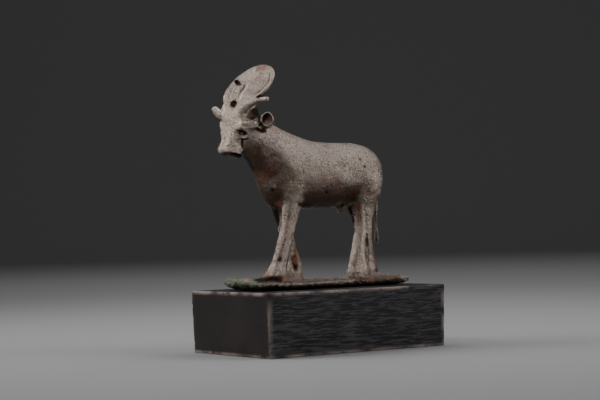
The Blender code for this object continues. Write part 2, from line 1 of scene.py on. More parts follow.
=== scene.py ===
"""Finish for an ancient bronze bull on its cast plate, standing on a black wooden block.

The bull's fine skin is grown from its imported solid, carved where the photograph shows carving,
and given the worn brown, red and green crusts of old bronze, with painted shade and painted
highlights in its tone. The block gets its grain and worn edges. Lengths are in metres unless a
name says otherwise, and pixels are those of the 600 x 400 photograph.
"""

import math

import bmesh
import bpy
import numpy as np
from bpy.props import FloatProperty, FloatVectorProperty, PointerProperty
from mathutils import Matrix, Vector, noise
from mathutils.bvhtree import BVHTree


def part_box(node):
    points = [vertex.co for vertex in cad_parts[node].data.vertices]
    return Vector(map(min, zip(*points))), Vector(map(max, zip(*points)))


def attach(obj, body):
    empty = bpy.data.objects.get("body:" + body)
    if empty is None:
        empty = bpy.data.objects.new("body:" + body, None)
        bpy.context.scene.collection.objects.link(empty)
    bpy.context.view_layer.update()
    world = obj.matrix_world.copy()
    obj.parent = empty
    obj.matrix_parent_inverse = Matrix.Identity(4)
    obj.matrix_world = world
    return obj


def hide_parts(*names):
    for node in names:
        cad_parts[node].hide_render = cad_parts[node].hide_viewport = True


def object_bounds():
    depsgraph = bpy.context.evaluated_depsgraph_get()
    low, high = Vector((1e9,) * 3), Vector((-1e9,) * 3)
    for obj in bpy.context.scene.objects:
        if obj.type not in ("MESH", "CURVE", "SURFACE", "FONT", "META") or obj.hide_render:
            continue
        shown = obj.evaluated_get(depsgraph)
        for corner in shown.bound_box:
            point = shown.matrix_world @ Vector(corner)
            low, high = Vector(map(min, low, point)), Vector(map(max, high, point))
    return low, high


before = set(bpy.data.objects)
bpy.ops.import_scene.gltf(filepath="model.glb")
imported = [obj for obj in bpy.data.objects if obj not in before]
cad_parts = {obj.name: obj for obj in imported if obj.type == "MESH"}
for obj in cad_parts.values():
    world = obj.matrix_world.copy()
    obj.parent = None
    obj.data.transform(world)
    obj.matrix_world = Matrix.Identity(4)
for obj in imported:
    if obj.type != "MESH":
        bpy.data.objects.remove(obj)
CAD_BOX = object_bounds()

bl_info = {
    "name": "Apis bull finish",
    "version": (1, 0, 0),
    "blender": (4, 5, 0),
    "location": "3D View > Sidebar > Apis Bull",
    "description": "Carved bronze skin, black wooden block and studio for an apis bull figure",
    "category": "Object",
}

MM = 0.001
TO_MM = 1000.0
TINY = 1e-9
# Points closer than this are joined.
MERGE = 1e-6

# The photograph's frame and the camera that took it.
PHOTO_WIDTH = 600
PHOTO_HEIGHT = 400
LENS_MM = 105.0
SENSOR_MM = 36.0
CAMERA_AT = (0.693147, -0.496613, 0.063060)
CAMERA_YAW = 54.9
CAMERA_PITCH = -0.65
CAMERA_ROLL = -1.5

# The head turns and rolls about the neck.
HEAD_TURN = 5.5
HEAD_ROLL = 2.5
NECK_PIVOT = (0.0, -0.0360, 0.1077)

# Where the skin is made finer for the head and headdress: further forward and higher than this.
FINE_FROM = (-0.0345, 0.0985)
# Above this height the finer part reaches further back, by this share of the extra height.
LEAN_FROM = 0.110
LEAN = 1.3
# Passes that ease the solid's facets away on the body and on the head, and the band between.
BODY_EASING = 7
HEAD_EASING = 4
HEAD_BAND = 0.004
# Softness of the edge of the face's smoothed plane, in pixels, and passes that smooth it.
FACE_EDGE = 4.0
FACE_EASING = 60

# Outlines on the near side: pixels in a row, each across and then down.
SLOT_HOLE = (234.4, 80.6, 236.6, 79.8, 240.6, 83.4, 241.4, 85, 239, 85.8, 235.2, 83)
LOWER_HOLE = (
    230.4, 102.6, 232.4, 100.6, 234.6, 100.6, 236.6, 102.2, 236.4, 104.6, 234.6, 107.8, 232.4,
    106.8, 230.8, 104.8,
)
HORN_GAP = (256.2, 96.4, 258.4, 95, 260.8, 95, 259.8, 97.6, 257.4, 98.8)
EYE_HOLLOW = (
    234, 131.8, 237.6, 129.8, 241.6, 129.4, 246, 131.8, 247.4, 134.8, 244.2, 136.2, 239, 135.4,
)
NEAR_EAR_CUP = (
    262.4, 119, 263.2, 115.6, 265.8, 113.4, 269.2, 113.4, 271.6, 115.8, 272.4, 119.6, 271, 123.2,
    267.6, 125.2, 264.4, 124.4, 262.4, 122.2,
)
# The far ear's cup: painted highlight at full pale tone.
FAR_EAR_CUP = (213.4, 108.2, 216.6, 107.6, 221.6, 112, 222.4, 116, 218.6, 115.6, 214.6, 111.6)
POLL_SHADE = (
    245.6, 117, 247.6, 112.4, 252, 109, 256, 106.6, 259, 105.6, 260, 112, 258.6, 118, 252, 119,
    246.4, 118.8,
)
# Painted shade under the muzzle.
MUZZLE_UNDERSIDE_SHADE = (
    219.8, 153.2, 226, 152.2, 232, 152.4, 237, 153.4, 241, 154.6, 242, 158, 236, 161, 228, 160, 222,
    157.5,
)
CHEEK_SHADE = (242.6, 139, 248, 137, 258, 138, 264, 148, 262, 162, 252, 164, 244, 154)
# Painted light on the muzzle's near side.
MUZZLE_SIDE_LIGHT = (231, 139, 235, 136, 240, 141, 242, 150, 239, 152, 230, 150)
FACE_PLANE = (
    225, 108, 238, 109, 241, 118, 239, 126, 233, 131, 232, 142, 223, 143, 223.5, 134, 224.5, 124,
)
SHOULDER_SHADE = (270, 150, 282, 152, 289, 164, 287, 182, 276, 186, 270, 170)
FLANK_LIGHT = (338, 168, 350, 166, 362, 170, 360, 180, 342, 180)
HIND_LEG_PALE = (353, 212, 364, 210, 368, 228, 367, 246, 372, 268, 360, 272, 352, 262, 354, 236)

# Soft pulls of the outline: pixel, reach in mm, and shift to the right and up in mm.
GRABS = (
    (267.4, 116, 2.4, 0, 1.2), (219.8, 125, 2, 0.65, -0.2), (219.6, 119, 2.8, 1.3, 0),
    (222.5, 101, 3.4, 1.3, 0), (221.5, 141, 2.2, 1.1, 0), (214.6, 109.4, 1.8, 0.2, 0.5),
    (221.6, 131.6, 1.6, -0.55, 0), (242, 149, 1.8, -0.5, 0),
)
# Carved outlines: depth in millimetres, softness of the edge in pixels, how pale or dark. The dark
# in the holes, the horn's gap, the ear cup, the eye hollow, under the muzzle and on the poll, cheek
# and shoulder is painted shade; the pale on the far ear, the muzzle's side and the flank is
# painted light.
PATCHES = (
    (SLOT_HOLE, -0.45, 1.0, -1.0),
    (LOWER_HOLE, -0.45, 1.2, -1.0),
    (HORN_GAP, -0.50, 1.2, -0.8),
    (NEAR_EAR_CUP, -0.60, 1.2, -0.30),
    (FAR_EAR_CUP, 0.60, 3.0, 1.0),
    (POLL_SHADE, 0.0, 2.5, -0.54),
    (MUZZLE_UNDERSIDE_SHADE, 0.0, 1.2, -0.9),
    (MUZZLE_SIDE_LIGHT, 0.0, 4.0, 0.20),
    (CHEEK_SHADE, 0.0, 9.0, -0.01),
    (SHOULDER_SHADE, 0.0, 12.0, -0.10),
    (FLANK_LIGHT, 0.0, 10.0, 0.14),
    (HIND_LEG_PALE, 0.0, 4.0, 0.2),
    (EYE_HOLLOW, -0.30, 1.6, -0.35),
)
# Strokes of carving: height and half width in millimetres, then the path's pixels in a row.
# Raised strokes also get a painted highlight and sunk ones painted shade.
DISC_STROKES = (
    (-0.2, 0.3, 242.6, 82.6, 244.4, 84.8, 244, 87.4, 242, 90.4, 239.8, 93.4, 238.6, 96.4),
    (0.3, 0.5, 248.4, 85.2, 246.4, 88.6, 243.6, 92.8, 240.6, 97.4, 239, 102.4),
    (-0.24, 0.36, 269.6, 73, 269.4, 78, 267, 82.8, 263, 87.6, 258.4, 92),
    (0.4, 0.36, 273, 69.5, 274, 75, 271.6, 81.4, 267.2, 87, 261.8, 91.8),
    (-0.14, 0.5, 229.4, 86.4, 226.6, 92.4, 225.2, 98.4, 224.8, 104.4),
    (-0.14, 0.3, 232.4, 88.4, 230.4, 93, 229.6, 98),
    (-0.14, 0.28, 235.6, 89, 237.2, 92.6, 236.4, 95.6),
)
FACE_STROKES = (
    (-0.3, 0.6, 238.4, 132.2, 242.4, 131.8, 245.6, 134),
    (0.35, 0.6, 237.4, 128.2, 241.6, 127.2, 246.4, 128.8),
    (0.25, 0.32, 242, 137.2, 244, 137.6, 246, 137),
    (-0.2, 0.4, 241.6, 139.5, 245, 139.8, 248, 138.8),
    (0.3, 0.6, 240.8, 118.6, 241, 123, 241.4, 127),
    (-0.12, 0.4, 244, 125.2, 249.6, 124.6, 255.8, 125.2),
    (0.3, 0.45, 246.4, 127.2, 252, 127.2, 257.6, 126),
    (-0.45, 0.6, 257.4, 129, 261, 130.8, 264.4, 130.8),
    (-0.15, 0.4, 244.4, 119.8, 250.4, 119.4, 257.6, 120),
)
# A chamfer along the muzzle's near side, which leaves no tone: height, half width, path.
MUZZLE_CHAMFER = (-0.8, 2, 236, 134, 232.6, 140, 231.4, 145)
MUZZLE_STROKES = (
    (0.25, 0.5, 225.4, 144.4, 229.6, 143.4, 233.4, 144.2, 237.4, 143.8),
    (-0.12, 0.35, 224, 146.6, 228.6, 145.6, 232.8, 146.6, 237.2, 145.8),
    (0.25, 0.4, 222.8, 149.4, 227.2, 147.8, 231.2, 149, 235.4, 147.8),
    (0.35, 0.4, 238.6, 146.6, 241.2, 148.4, 241.8, 151.2),
    (0.3, 0.4, 219.6, 151.6, 226, 150.6, 232, 151, 237, 152, 240.8, 153.2),
    (-0.4, 0.5, 221, 154.4, 226, 153.6, 232, 153.8, 237, 154.8, 240.6, 155.8),
)
EAR_RIM = (
    (
        0.15, 0.32, 262, 120, 262.4, 115.8, 264.6, 112.9, 267.8, 111.9, 271.2, 113.2, 273, 116.8,
        273, 120.6,
    ),
)
# Single dabs of carving: height, half width, pixel. Raised dabs also get a painted highlight and
# sunk ones painted shade.
FACE_DABS = (
    (0.14, 0.7, 242.6, 133.6), (-0.25, 0.4, 239.4, 145.2), (-0.3, 0.4, 233.8, 149.8),
    (-0.3, 0.4, 224.6, 146.6), (0.4, 0.75, 244.4, 122.6), (0.35, 0.65, 248.4, 122.4),
    (0.4, 0.7, 252.2, 121.6), (0.35, 0.7, 256.6, 123.4),
)
LEG_STROKES = (
    (0.35, 0.6, 284, 208, 280, 225, 276.2, 240, 272.4, 256, 269, 268),
    (-0.12, 1.1, 287.4, 212, 283.4, 228, 280, 242, 276.4, 256),
    (0.2, 0.8, 302.6, 200, 298.2, 216, 294.2, 232, 290.8, 246, 288.4, 258),
    (-0.14, 0.3, 283.4, 245.2, 289.2, 246.4),
    (-0.12, 0.3, 282.6, 252.6, 288.4, 251.6),
    (-0.12, 0.3, 284.4, 260.6, 289, 259.4),
    (0.4, 0.7, 361.6, 207, 362.8, 218, 363.2, 233, 361.4, 245.6, 363, 257, 366.4, 268),
    (-0.22, 0.55, 365.6, 221, 366.2, 235, 364.4, 246, 366.6, 258),
    (-0.2, 0.6, 358.8, 206, 359.2, 219, 358.4, 233, 356.4, 244),
    (0.35, 0.6, 356.6, 226, 353.6, 240, 351.4, 254, 348.8, 266),
    (0.3, 0.6, 370.4, 212, 370.6, 224, 370, 234),
    (0.35, 0.6, 295.6, 240, 298.2, 248, 300.8, 258),
    (0.35, 0.45, 377.2, 203, 378.2, 214, 379, 229),
    (-0.3, 0.4, 374.6, 232, 375.4, 238, 375.2, 244),
    (-0.3, 0.4, 377.4, 232, 377.6, 238, 376.8, 244),
)
BODY_DABS = (
    (-0.35, 0.6, 360.2, 159.4), (-0.3, 0.6, 364.6, 166.8), (-0.3, 0.5, 344.4, 166.6),
    (0.25, 0.9, 275.2, 187), (-0.35, 0.6, 272.4, 190.6), (-0.3, 0.55, 326.4, 193),
    (0.45, 1.1, 346, 207.6), (0.35, 0.9, 350.4, 203.6), (-0.45, 0.7, 342.6, 205.4),
)

# Strokes that only tone the surface: how pale or dark, half width in millimetres, path. Most are
# painted highlights on lit rims, ridges and edges, and painted shade in gaps, under the ear and
# the muzzle, along the belly and on the far legs' tops.
TONE_STROKES = (
    (0.8, 0.3, 272.6, 67.4, 274.6, 71.6, 274.2, 76.4, 271.8, 82, 267.6, 87),
    (0.6, 0.3, 267.6, 87, 262.4, 91.6, 257, 95.4),
    (0.5, 0.3, 245.6, 82.8, 247.6, 85.6, 245.4, 89.4, 242, 94.6, 239.6, 100),
    (0.45, 0.28, 238.4, 78.8, 242, 81, 243.8, 83.6),
    (0.6, 0.5, 262, 99.2, 265.4, 98.6, 268, 99),
    (0.6, 0.35, 224.4, 96, 224, 104, 224.6, 112),
    (0.7, 0.35, 223, 136, 222.2, 142, 219.8, 149.4, 219.6, 152),
    (0.8, 0.3, 219.8, 151.8, 226, 150.8, 232, 151, 237, 152, 240.6, 153),
    (0.9, 0.26, 242.6, 137.2, 244, 137.5, 245.4, 137.1),
    (-0.25, 0.5, 242, 139.4, 245, 139.8, 248, 139),
    (0.6, 0.3, 244, 121.8, 248, 121.4),
    (0.6, 0.26, 250.8, 121.2, 252.6, 120.8),
    (0.45, 0.35, 247, 127, 252, 127, 257.4, 125.8),
    (0.3, 0.6, 242, 123, 249, 122.6, 257, 123.4),
    (0.55, 0.35, 239, 146.8, 241.2, 148.6, 241.6, 151),
    (0.4, 0.35, 225.8, 144.4, 229.6, 143.4, 233.6, 144.2, 237.4, 143.8),
    (-0.35, 0.28, 226, 146.4, 230, 147.4),
    (-0.35, 0.28, 232, 149.6, 236, 149.8),
    (0.6, 0.5, 211.6, 109, 214, 107.4, 216.6, 107.4),
    (
        0.95, 0.24, 261.2, 120.4, 261.6, 116, 263.8, 112.8, 267.4, 111.6, 271, 112.8, 273, 116,
        273.2, 119,
    ),
    (-0.55, 0.8, 257.6, 129.6, 261.4, 131.6, 265, 131.4),
    (-0.5, 0.5, 262.6, 127, 266.4, 128.2, 270.6, 126.6),
    (0.6, 0.4, 284.4, 206, 280.4, 224, 276.4, 240, 272.4, 256, 269, 268),
    (-0.16, 1.2, 290, 214, 285.6, 230, 282, 244, 279, 258),
    (0.16, 1.2, 296, 206, 293.6, 218, 291.4, 228),
    (0.35, 0.3, 300.4, 206, 296, 222, 292.4, 238),
    (0.4, 0.5, 361.8, 210, 363, 224, 362.4, 240, 363.4, 256),
    (-0.25, 0.5, 366.6, 214, 367, 232, 366.4, 246),
    (-0.4, 0.6, 382, 205, 383.6, 220, 384, 236),
    (0.3, 0.24, 378, 203, 379, 214, 379.8, 229),
    # Painted shade along the belly's lower edge.
    (-0.8, 0.8, 300, 204.6, 316, 207.6, 332, 207),
    (-0.45, 0.6, 242.4, 140, 241.8, 146, 241.6, 152),
    (-0.5, 0.5, 260.6, 124.6, 264, 126.6, 268, 126.8, 271, 124.6),
    (-0.45, 0.7, 258.6, 121, 259.4, 117.4, 261, 114.4),
    (-0.55, 0.3, 297.6, 218, 294.4, 232, 291.4, 244, 288.4, 256, 286.6, 268),
    (-0.35, 1.5, 295.4, 240, 295.6, 252, 295.6, 266),
    (-0.45, 0.32, 367.4, 234, 368.4, 248, 369, 262),
    (-0.32, 1.6, 372.4, 246, 374, 258, 377, 269),
    (-0.45, 0.9, 272.8, 207, 275.6, 216, 279, 229),
    (-0.45, 0.9, 348, 211, 352.4, 221, 356, 232),
    (-0.3, 0.6, 375.8, 212, 376.6, 226, 376.4, 241),
    (-0.3, 0.5, 240, 132.6, 244.4, 133.4),
    (0.04, 3, 300, 168, 302, 186),
    (-0.12, 2.4, 289, 170, 294, 180, 295, 190),
    (-0.3, 1.8, 244.6, 101, 246, 104, 244, 107),
    (0.4, 0.8, 243.6, 110, 247, 107.4),
    (0.35, 0.7, 241.6, 127, 245, 127.4),
    (0.14, 1.6, 250, 137, 258, 137.6, 268, 137),
    (-0.18, 1.1, 286.4, 238, 282.6, 250, 280.4, 260),
    (-0.4, 1.2, 293.6, 258, 295.6, 270),
    (0.3, 1, 348, 260, 346, 270),
    (-0.22, 2.4, 245.4, 90.4, 250, 92, 257, 94),
    (0.6, 1.1, 241.6, 123.6, 248, 123.4, 255.4, 124.4),
    (-0.6, 0.8, 260.6, 123.6, 263, 127, 263.6, 129),
    (-0.3, 1.2, 231.8, 131.4, 233.6, 134.6, 238.4, 139),
    (0.25, 1.1, 231, 143, 232, 147),
    (0.08, 2.6, 264, 134, 276, 136, 288, 144),
    (-0.06, 2.6, 260, 148, 272, 150, 284, 160),
    (-0.4, 1.2, 243.4, 156, 247, 162, 251, 169),
    (0.14, 2.2, 294, 148, 299, 164),
    # Painted shadow on the far legs' tops.
    (-1, 1.2, 274, 210, 277.6, 224),
    (-1, 1.2, 348.4, 210.6, 351.6, 220),
    (0.4, 1.2, 357.4, 230, 356.4, 242, 352.4, 254, 349.4, 265),
    (-0.1, 2, 368, 182, 368, 192),
    (0.14, 1.6, 377, 178, 377, 190),
    (-0.32, 1, 366.4, 240, 366.6, 254, 369, 268),
    (-0.3, 1.5, 272, 262, 280, 260),
    (-0.45, 1.4, 258, 280, 272, 279, 280, 279),
    (-0.15, 1.6, 358, 279.6, 376, 279.6, 396, 279),
    (-0.2, 1.2, 236, 286, 256, 287.6, 278, 287.6),
)

# Crusts that only colour the surface: strength, reach in millimetres, pixel.
RED_CRUSTS = (
    (1, 4.2, 268, 207), (0.75, 3.2, 279, 204), (0.6, 4.6, 262, 176), (0.5, 4, 270, 166),
    (0.6, 4.4, 292, 134), (0.5, 4.2, 303, 139.6), (0.55, 3, 276, 129.6), (0.5, 3, 284, 131.6),
    (0.4, 3.4, 254, 164), (0.5, 3, 257.6, 186), (0.32, 5.5, 250, 150), (0.4, 6, 276, 180),
    (0.55, 3.8, 324, 179), (0.5, 3.6, 337, 181), (1, 2.7, 264, 67), (0.95, 2.5, 259, 68.6),
    (0.6, 1.2, 258.6, 78), (0.45, 1.4, 267.4, 77), (0.85, 3.4, 357, 206), (0.8, 3, 358.6, 218),
    (0.5, 3.2, 355, 240), (0.6, 3.4, 351.6, 262), (0.75, 3, 296, 250), (0.7, 3, 292, 236),
    (0.8, 3.2, 266, 274), (0.65, 3.4, 287, 280.6), (0.8, 3, 372, 279), (0.7, 2, 236, 131.4),
    (0.55, 1.6, 241.6, 134.6), (0.45, 3.4, 288, 228), (0.9, 2.6, 296, 260), (0.6, 2.4, 374, 262),
    (0.36, 4.5, 262, 74), (0.7, 2.2, 277, 226), (0.4, 3.6, 376, 182), (0.35, 4, 345, 151),
    (0.55, 2.6, 259.4, 196), (0.45, 1.6, 232.6, 108.4), (0.4, 1.4, 238.4, 103),
)
GREEN_CRUSTS = (
    (1, 2.6, 345.6, 207.6), (0.8, 2.8, 352.4, 203), (0.65, 2.2, 360, 199.4), (0.55, 3.2, 340, 203),
    (0.85, 4.6, 229, 281.6), (0.8, 4.8, 240, 283.4), (0.7, 4.4, 252, 284), (0.55, 3.6, 262, 285.4),
    (0.5, 3, 322, 207), (0.35, 2, 251, 121.8), (0.4, 3.6, 401, 278),
)
# The same crusts on the sides that the photograph doesn't show: strength, reach in mm, place.
HIDDEN_RED = (
    (0.4, 6, -0.011, 0.01, 0.09), (0.4, 6, -0.011, -0.018, 0.078), (0.5, 5, -0.01, -0.012, 0.05),
    (0.45, 5, -0.01, 0.034, 0.06), (0.4, 5, 0, 0.038, 0.078), (0.35, 5, -0.004, -0.03, 0.126),
)
HIDDEN_GREEN = (
    (0.8, 4, -0.004, 0.02, 0.067), (0.5, 5, -0.012, 0.04, 0.034), (0.45, 4, -0.014, -0.03, 0.034),
    (0.4, 3.5, -0.008, -0.02, 0.07),
)


def rgb(name, text, colour):
    """A colour that a user can set."""
    return FloatVectorProperty(
        name=name, description=text, default=colour, size=3, min=0.0, max=1.0, subtype="COLOR"
    )


def length(name, text, metres):
    """A length that a user can set."""
    return FloatProperty(
        name=name, description=text, default=metres, precision=5, subtype="DISTANCE", unit="LENGTH"
    )


class BronzeSettings(bpy.types.PropertyGroup):
    """Sizes and colours of the bronze bull."""

    skin_grid: length("Skin grid", "Spacing of the fine skin's points", 0.00064)
    lump_height: length("Lumps", "Height of the casting's soft lumps", 0.00016)
    pit_depth: length("Pits", "Depth of the corrosion pits", 0.00014)
    rough_height: length("Roughness", "Height of the crust on legs and plate", 0.00038)
    # Dark bronze is also the painted shade wherever the tone is below plain.
    dark: rgb("Dark bronze", "Patina in the hollows", (0.082, 0.044, 0.028))
    brown: rgb("Brown bronze", "Main patina", (0.230, 0.158, 0.115))
    grey: rgb("Grey bronze", "Worn satin patina", (0.540, 0.450, 0.395))
    # Pale bronze is also the painted highlights wherever the tone is above plain.
    pale: rgb("Pale bronze", "Dry patina of head and disc", (0.610, 0.462, 0.372))
    red: rgb("Red crust", "Cuprite", (0.380, 0.155, 0.092))
    # The deepest painted shade: holes, gaps, the muzzle's underside and the far legs' shadowed
    # tops.
    deepest_shade: rgb("Soot", "Darkest hollows", (0.014, 0.010, 0.008))
    green: rgb("Green crust", "Malachite", (0.190, 0.270, 0.170))
    # Rubbed edges, and also the painted highlights at the highest tone and the painted glints.
    worn_and_highlight: rgb("Worn edge", "Rubbed edges", (0.920, 0.820, 0.720))


class BlockSettings(bpy.types.PropertyGroup):
    """Sizes and colours of the wooden block."""

    grain_depth: length("Grain", "Depth of the open grain", 0.00007)
    black: rgb("Black stain", "Colour of the long sides", (0.0095, 0.0092, 0.0105))
    brown: rgb("Brown stain", "Colour of the ends", (0.0180, 0.0130, 0.0114))
    bare: rgb("Bare wood", "Colour of the rubbed edges", (0.440, 0.350, 0.310))


class StudioSettings(bpy.types.PropertyGroup):
    """The floor and the lights."""

    floor: rgb("Floor", "Colour of the pale floor", (0.500, 0.500, 0.505))
    strength: FloatProperty(
        name="Light", description="Strength of all the soft lights together", default=1.0, min=0.0
    )


def camera_axes():
    """The camera's right, up and forward directions."""
    yaw, pitch, roll = (math.radians(angle) for angle in (CAMERA_YAW, CAMERA_PITCH, CAMERA_ROLL))
    right = Vector((math.cos(yaw), math.sin(yaw), 0.0))
    ahead = Vector((-math.sin(yaw), math.cos(yaw), 0.0))
    up = Vector((0.0, 0.0, 1.0))
    forward = ahead * math.cos(pitch) - up * math.sin(pitch)
    raised = ahead * math.sin(pitch) + up * math.cos(pitch)
    across = math.cos(roll) * right + math.sin(roll) * raised
    upward = -math.sin(roll) * right + math.cos(roll) * raised
    return across, upward, forward


def pixel_ray(pixel):
    """The direction from the camera through a pixel of the photograph."""
    across, upward, forward = camera_axes()
    focal = LENS_MM / SENSOR_MM * PHOTO_WIDTH
    side = (pixel[0] - PHOTO_WIDTH / 2) / focal
    rise = (PHOTO_HEIGHT / 2 - pixel[1]) / focal
    return (forward + across * side + upward * rise).normalized()


def to_pixels(points):
    """Where places appear in the photograph."""
    across, upward, forward = (np.array(axis) for axis in camera_axes())
    away = points - np.array(CAMERA_AT)
    focal = LENS_MM / SENSOR_MM * PHOTO_WIDTH / (away @ forward)
    column = PHOTO_WIDTH / 2 + focal * (away @ across)
    return np.stack((column, PHOTO_HEIGHT / 2 - focal * (away @ upward)), axis=1)


def head_pose():
    """The turn and roll of the head on the neck."""
    turn = Matrix.Rotation(math.radians(HEAD_TURN), 4, "Z")
    roll = Matrix.Rotation(math.radians(HEAD_ROLL), 4, "Y")
    pivot = Matrix.Translation(NECK_PIVOT)
    return pivot @ turn @ roll @ pivot.inverted()


# Carving of one side of the head fades out over this band beside its middle, in metres.
MIDDLE_BAND = (0.0022, 0.0036)
# A stroke this deep takes its full tone: a painted highlight on a ridge and painted shade in a
# groove.
DEEP = 0.0005
RIDGE_HIGHLIGHT = 0.30
GROOVE_SHADE = -0.60
# What one pixel covers at the bull, and how far behind another a point counts as hidden.
PIXEL = 0.00049
HIDDEN_BY = 0.0006
# A stroke ends this many half widths from its path.
STROKE_REACH = 2.0
# How quickly a surface takes its full stroke as it turns to the camera, or to a far stroke's way.
NEAR_GAIN = 3.0
FAR_GAIN = 2.0
# How far easing moves a point towards its neighbours in one pass.
EASE_SHARE = 0.5


def smooth_share(value, low, high):
    """0 below low and 1 above high, eased between them. Works on arrays too."""
    share = np.clip((value - low) / (high - low), 0.0, 1.0)
    return share * share * (3.0 - 2.0 * share)


def pixel_pairs(numbers):
    """Numbers in a row as pixels, each across and down."""
    return np.array(numbers, dtype=float).reshape(-1, 2)


def gap_to_run(points, start, end):
    """How far each point is from the straight run between two places."""
    run = end - start
    share = np.clip((points - start) @ run / max(run @ run, TINY), 0.0, 1.0)
    return np.linalg.norm(points - (start + share[:, None] * run), axis=1)


def distance_to_path(points, path):
    """How far each point is from the nearest stretch of a path, or from its only place."""
    ends = path[1:] if len(path) > 1 else path
    return np.min([gap_to_run(points, start, end) for start, end in zip(path, ends)], axis=0)


def depth_inside(points, outline):
    """How far each flat point lies inside an outline, below zero outside it."""
    within = np.zeros(len(points), dtype=bool)
    for start, end in zip(outline, np.roll(outline, -1, axis=0)):
        crosses = (start[1] > points[:, 1]) != (end[1] > points[:, 1])
        rise = end[1] - start[1] if abs(end[1] - start[1]) > TINY else TINY
        at = start[0] + (points[:, 1] - start[1]) / rise * (end[0] - start[0])
        within ^= crosses & (points[:, 0] < at)
    away = distance_to_path(points, np.vstack((outline, outline[:1])))
    return np.where(within, away, -away)


def stroke_tone(height):
    """How a stroke tones the surface: painted highlight on a ridge, painted shade in a groove."""
    tone = RIDGE_HIGHLIGHT if height > 0.0 else GROOVE_SHADE
    return tone * min(1.0, abs(height) / DEEP)


class Clay:
    """The points of a mesh while its relief is worked, and the tone that the work leaves."""

    def __init__(self, mesh):
        self.mesh = mesh
        count = len(mesh.vertices)
        ends = np.empty(len(mesh.edges) * 2, dtype=np.int32)
        mesh.edges.foreach_get("vertices", ends)
        self.first, self.second = ends.reshape(-1, 2).T
        self.degree = np.maximum(np.bincount(ends, minlength=count), 1)
        self.tone = np.zeros(count)
        self.refresh()

    def refresh(self):
        """Reads the mesh's points and normals again."""
        self.points = self.column("co")
        self.normals = self.column("normal")
        faces = [tuple(face.vertices) for face in self.mesh.polygons]
        self.tree = BVHTree.FromPolygons([tuple(point) for point in self.points], faces)
        self.pixels = to_pixels(self.points)
        view = np.array(CAMERA_AT) - self.points
        view /= np.linalg.norm(view, axis=1)[:, None]
        turned = np.einsum("ij,ij->i", self.normals, view)
        self.facing = np.clip(turned * NEAR_GAIN, 0.0, 1.0)

    def column(self, name):
        """One of the points' own vectors as an array."""
        values = np.empty(len(self.mesh.vertices) * 3, dtype=np.float32)
        self.mesh.vertices.foreach_get(name, values)
        return values.reshape(-1, 3).astype(np.float64)

    def keep(self):
        """Writes the points back to the mesh and reads its new normals."""
        self.mesh.vertices.foreach_set("co", self.points.astype(np.float32).ravel())
        self.mesh.update()
        self.normals = self.column("normal")

    def neighbours(self, values):
        """The mean of each point's neighbours."""
        count = len(values)
        total = np.bincount(self.first, values[self.second], count)
        total += np.bincount(self.second, values[self.first], count)
        return total / self.degree

    def around(self):
        """The middle of each point's neighbours."""
        return np.stack([self.neighbours(column) for column in self.points.T], axis=1)

    def ease(self, passes, share):
        """Evens the points out, each by its own share."""
        for _ in range(passes):
            self.points += (self.around() - self.points) * share[:, None]

    def seen_at(self, pixel):
        """The place and normal on the surface that the photograph shows at a pixel."""
        origin = Vector(CAMERA_AT)
        ray = pixel_ray(pixel)
        place, normal, _, _ = self.tree.ray_cast(origin, ray)
        if place is None:
            middle = origin + ray * -origin.dot(ray)
            place, normal, _, _ = self.tree.find_nearest(middle)
        return np.array(place), np.array(normal)

    def twin(self, place):
        """The place on the far side of the head that answers to one on its near side."""
        pose = head_pose()
        local = pose.inverted() @ Vector(place)
        local.x = -local.x
        found, normal, _, _ = self.tree.find_nearest(pose @ local)
        return np.array(found), np.array(normal)

    def own_side(self, near, side):
        """1 on one side of the head and 0 on its middle and beyond."""
        row = np.array(head_pose().inverted())[0]
        across = self.points[near] @ row[:3] + row[3]
        return smooth_share(across * side, *MIDDLE_BAND)

    def shown(self, outline, margin):
        """The points that the photograph shows within a margin of an outline or path."""
        low = np.min(outline, axis=0) - margin
        high = np.max(outline, axis=0) + margin
        framed = np.all((self.pixels > low) & (self.pixels < high), axis=1)
        near = np.flatnonzero(framed & (self.facing > 0.0))
        origin = Vector(CAMERA_AT)
        clear = []
        for index in near:
            ray = Vector(self.points[index]) - origin
            hit = self.tree.ray_cast(origin, ray.normalized())[0]
            clear.append(hit is None or (hit - origin).length > ray.length - HIDDEN_BY)
        return near[np.array(clear, dtype=bool)] if clear else near

    def grab(self, pixel, reach, right, up):
        """Shifts the surface around what shows at a pixel, across and up the picture."""
        place = self.seen_at(pixel)[0]
        across, upward, _ = (np.array(axis) for axis in camera_axes())
        away = np.linalg.norm(self.points - place, axis=1) / reach
        self.points += np.exp(-(away ** 2))[:, None] * (across * right + upward * up)

    def along(self, path, width):
        """The points that show along a path of pixels, and their shares, less to its sides."""
        path = pixel_pairs(path)
        near = self.shown(path, STROKE_REACH * width / PIXEL)
        away = distance_to_path(self.pixels[near], path) * PIXEL / width
        return near, np.exp(-(away ** 2))

    def within(self, outline, edge):
        """The points that show inside an outline of pixels, and their shares, less at its edge."""
        outline = pixel_pairs(outline)
        near = self.shown(outline, edge)
        inside = depth_inside(self.pixels[near], outline)
        return near, smooth_share(inside, -0.5 * edge, 0.5 * edge)

    def push(self, near, weight, height):
        """Moves points along their mean normal."""
        way = (self.normals[near] * weight[:, None]).sum(axis=0)
        way /= max(np.linalg.norm(way), TINY)
        self.points[near] += way * (weight * height)[:, None]

    def stroke(self, path, height, width, side=0.0, toned=True):
        """Raises or sinks what shows along a path of pixels, width being half of it."""
        near, weight = self.along(path, width)
        weight = weight * self.facing[near]
        if side:
            weight *= self.own_side(near, side)
        self.push(near, weight, height)
        if toned:
            self.tone[near] += weight * stroke_tone(height)

    def tint(self, path, width, tone):
        """Tones what shows along a path of pixels, width being half of it."""
        near, weight = self.along(path, width)
        self.tone[near] += weight * tone

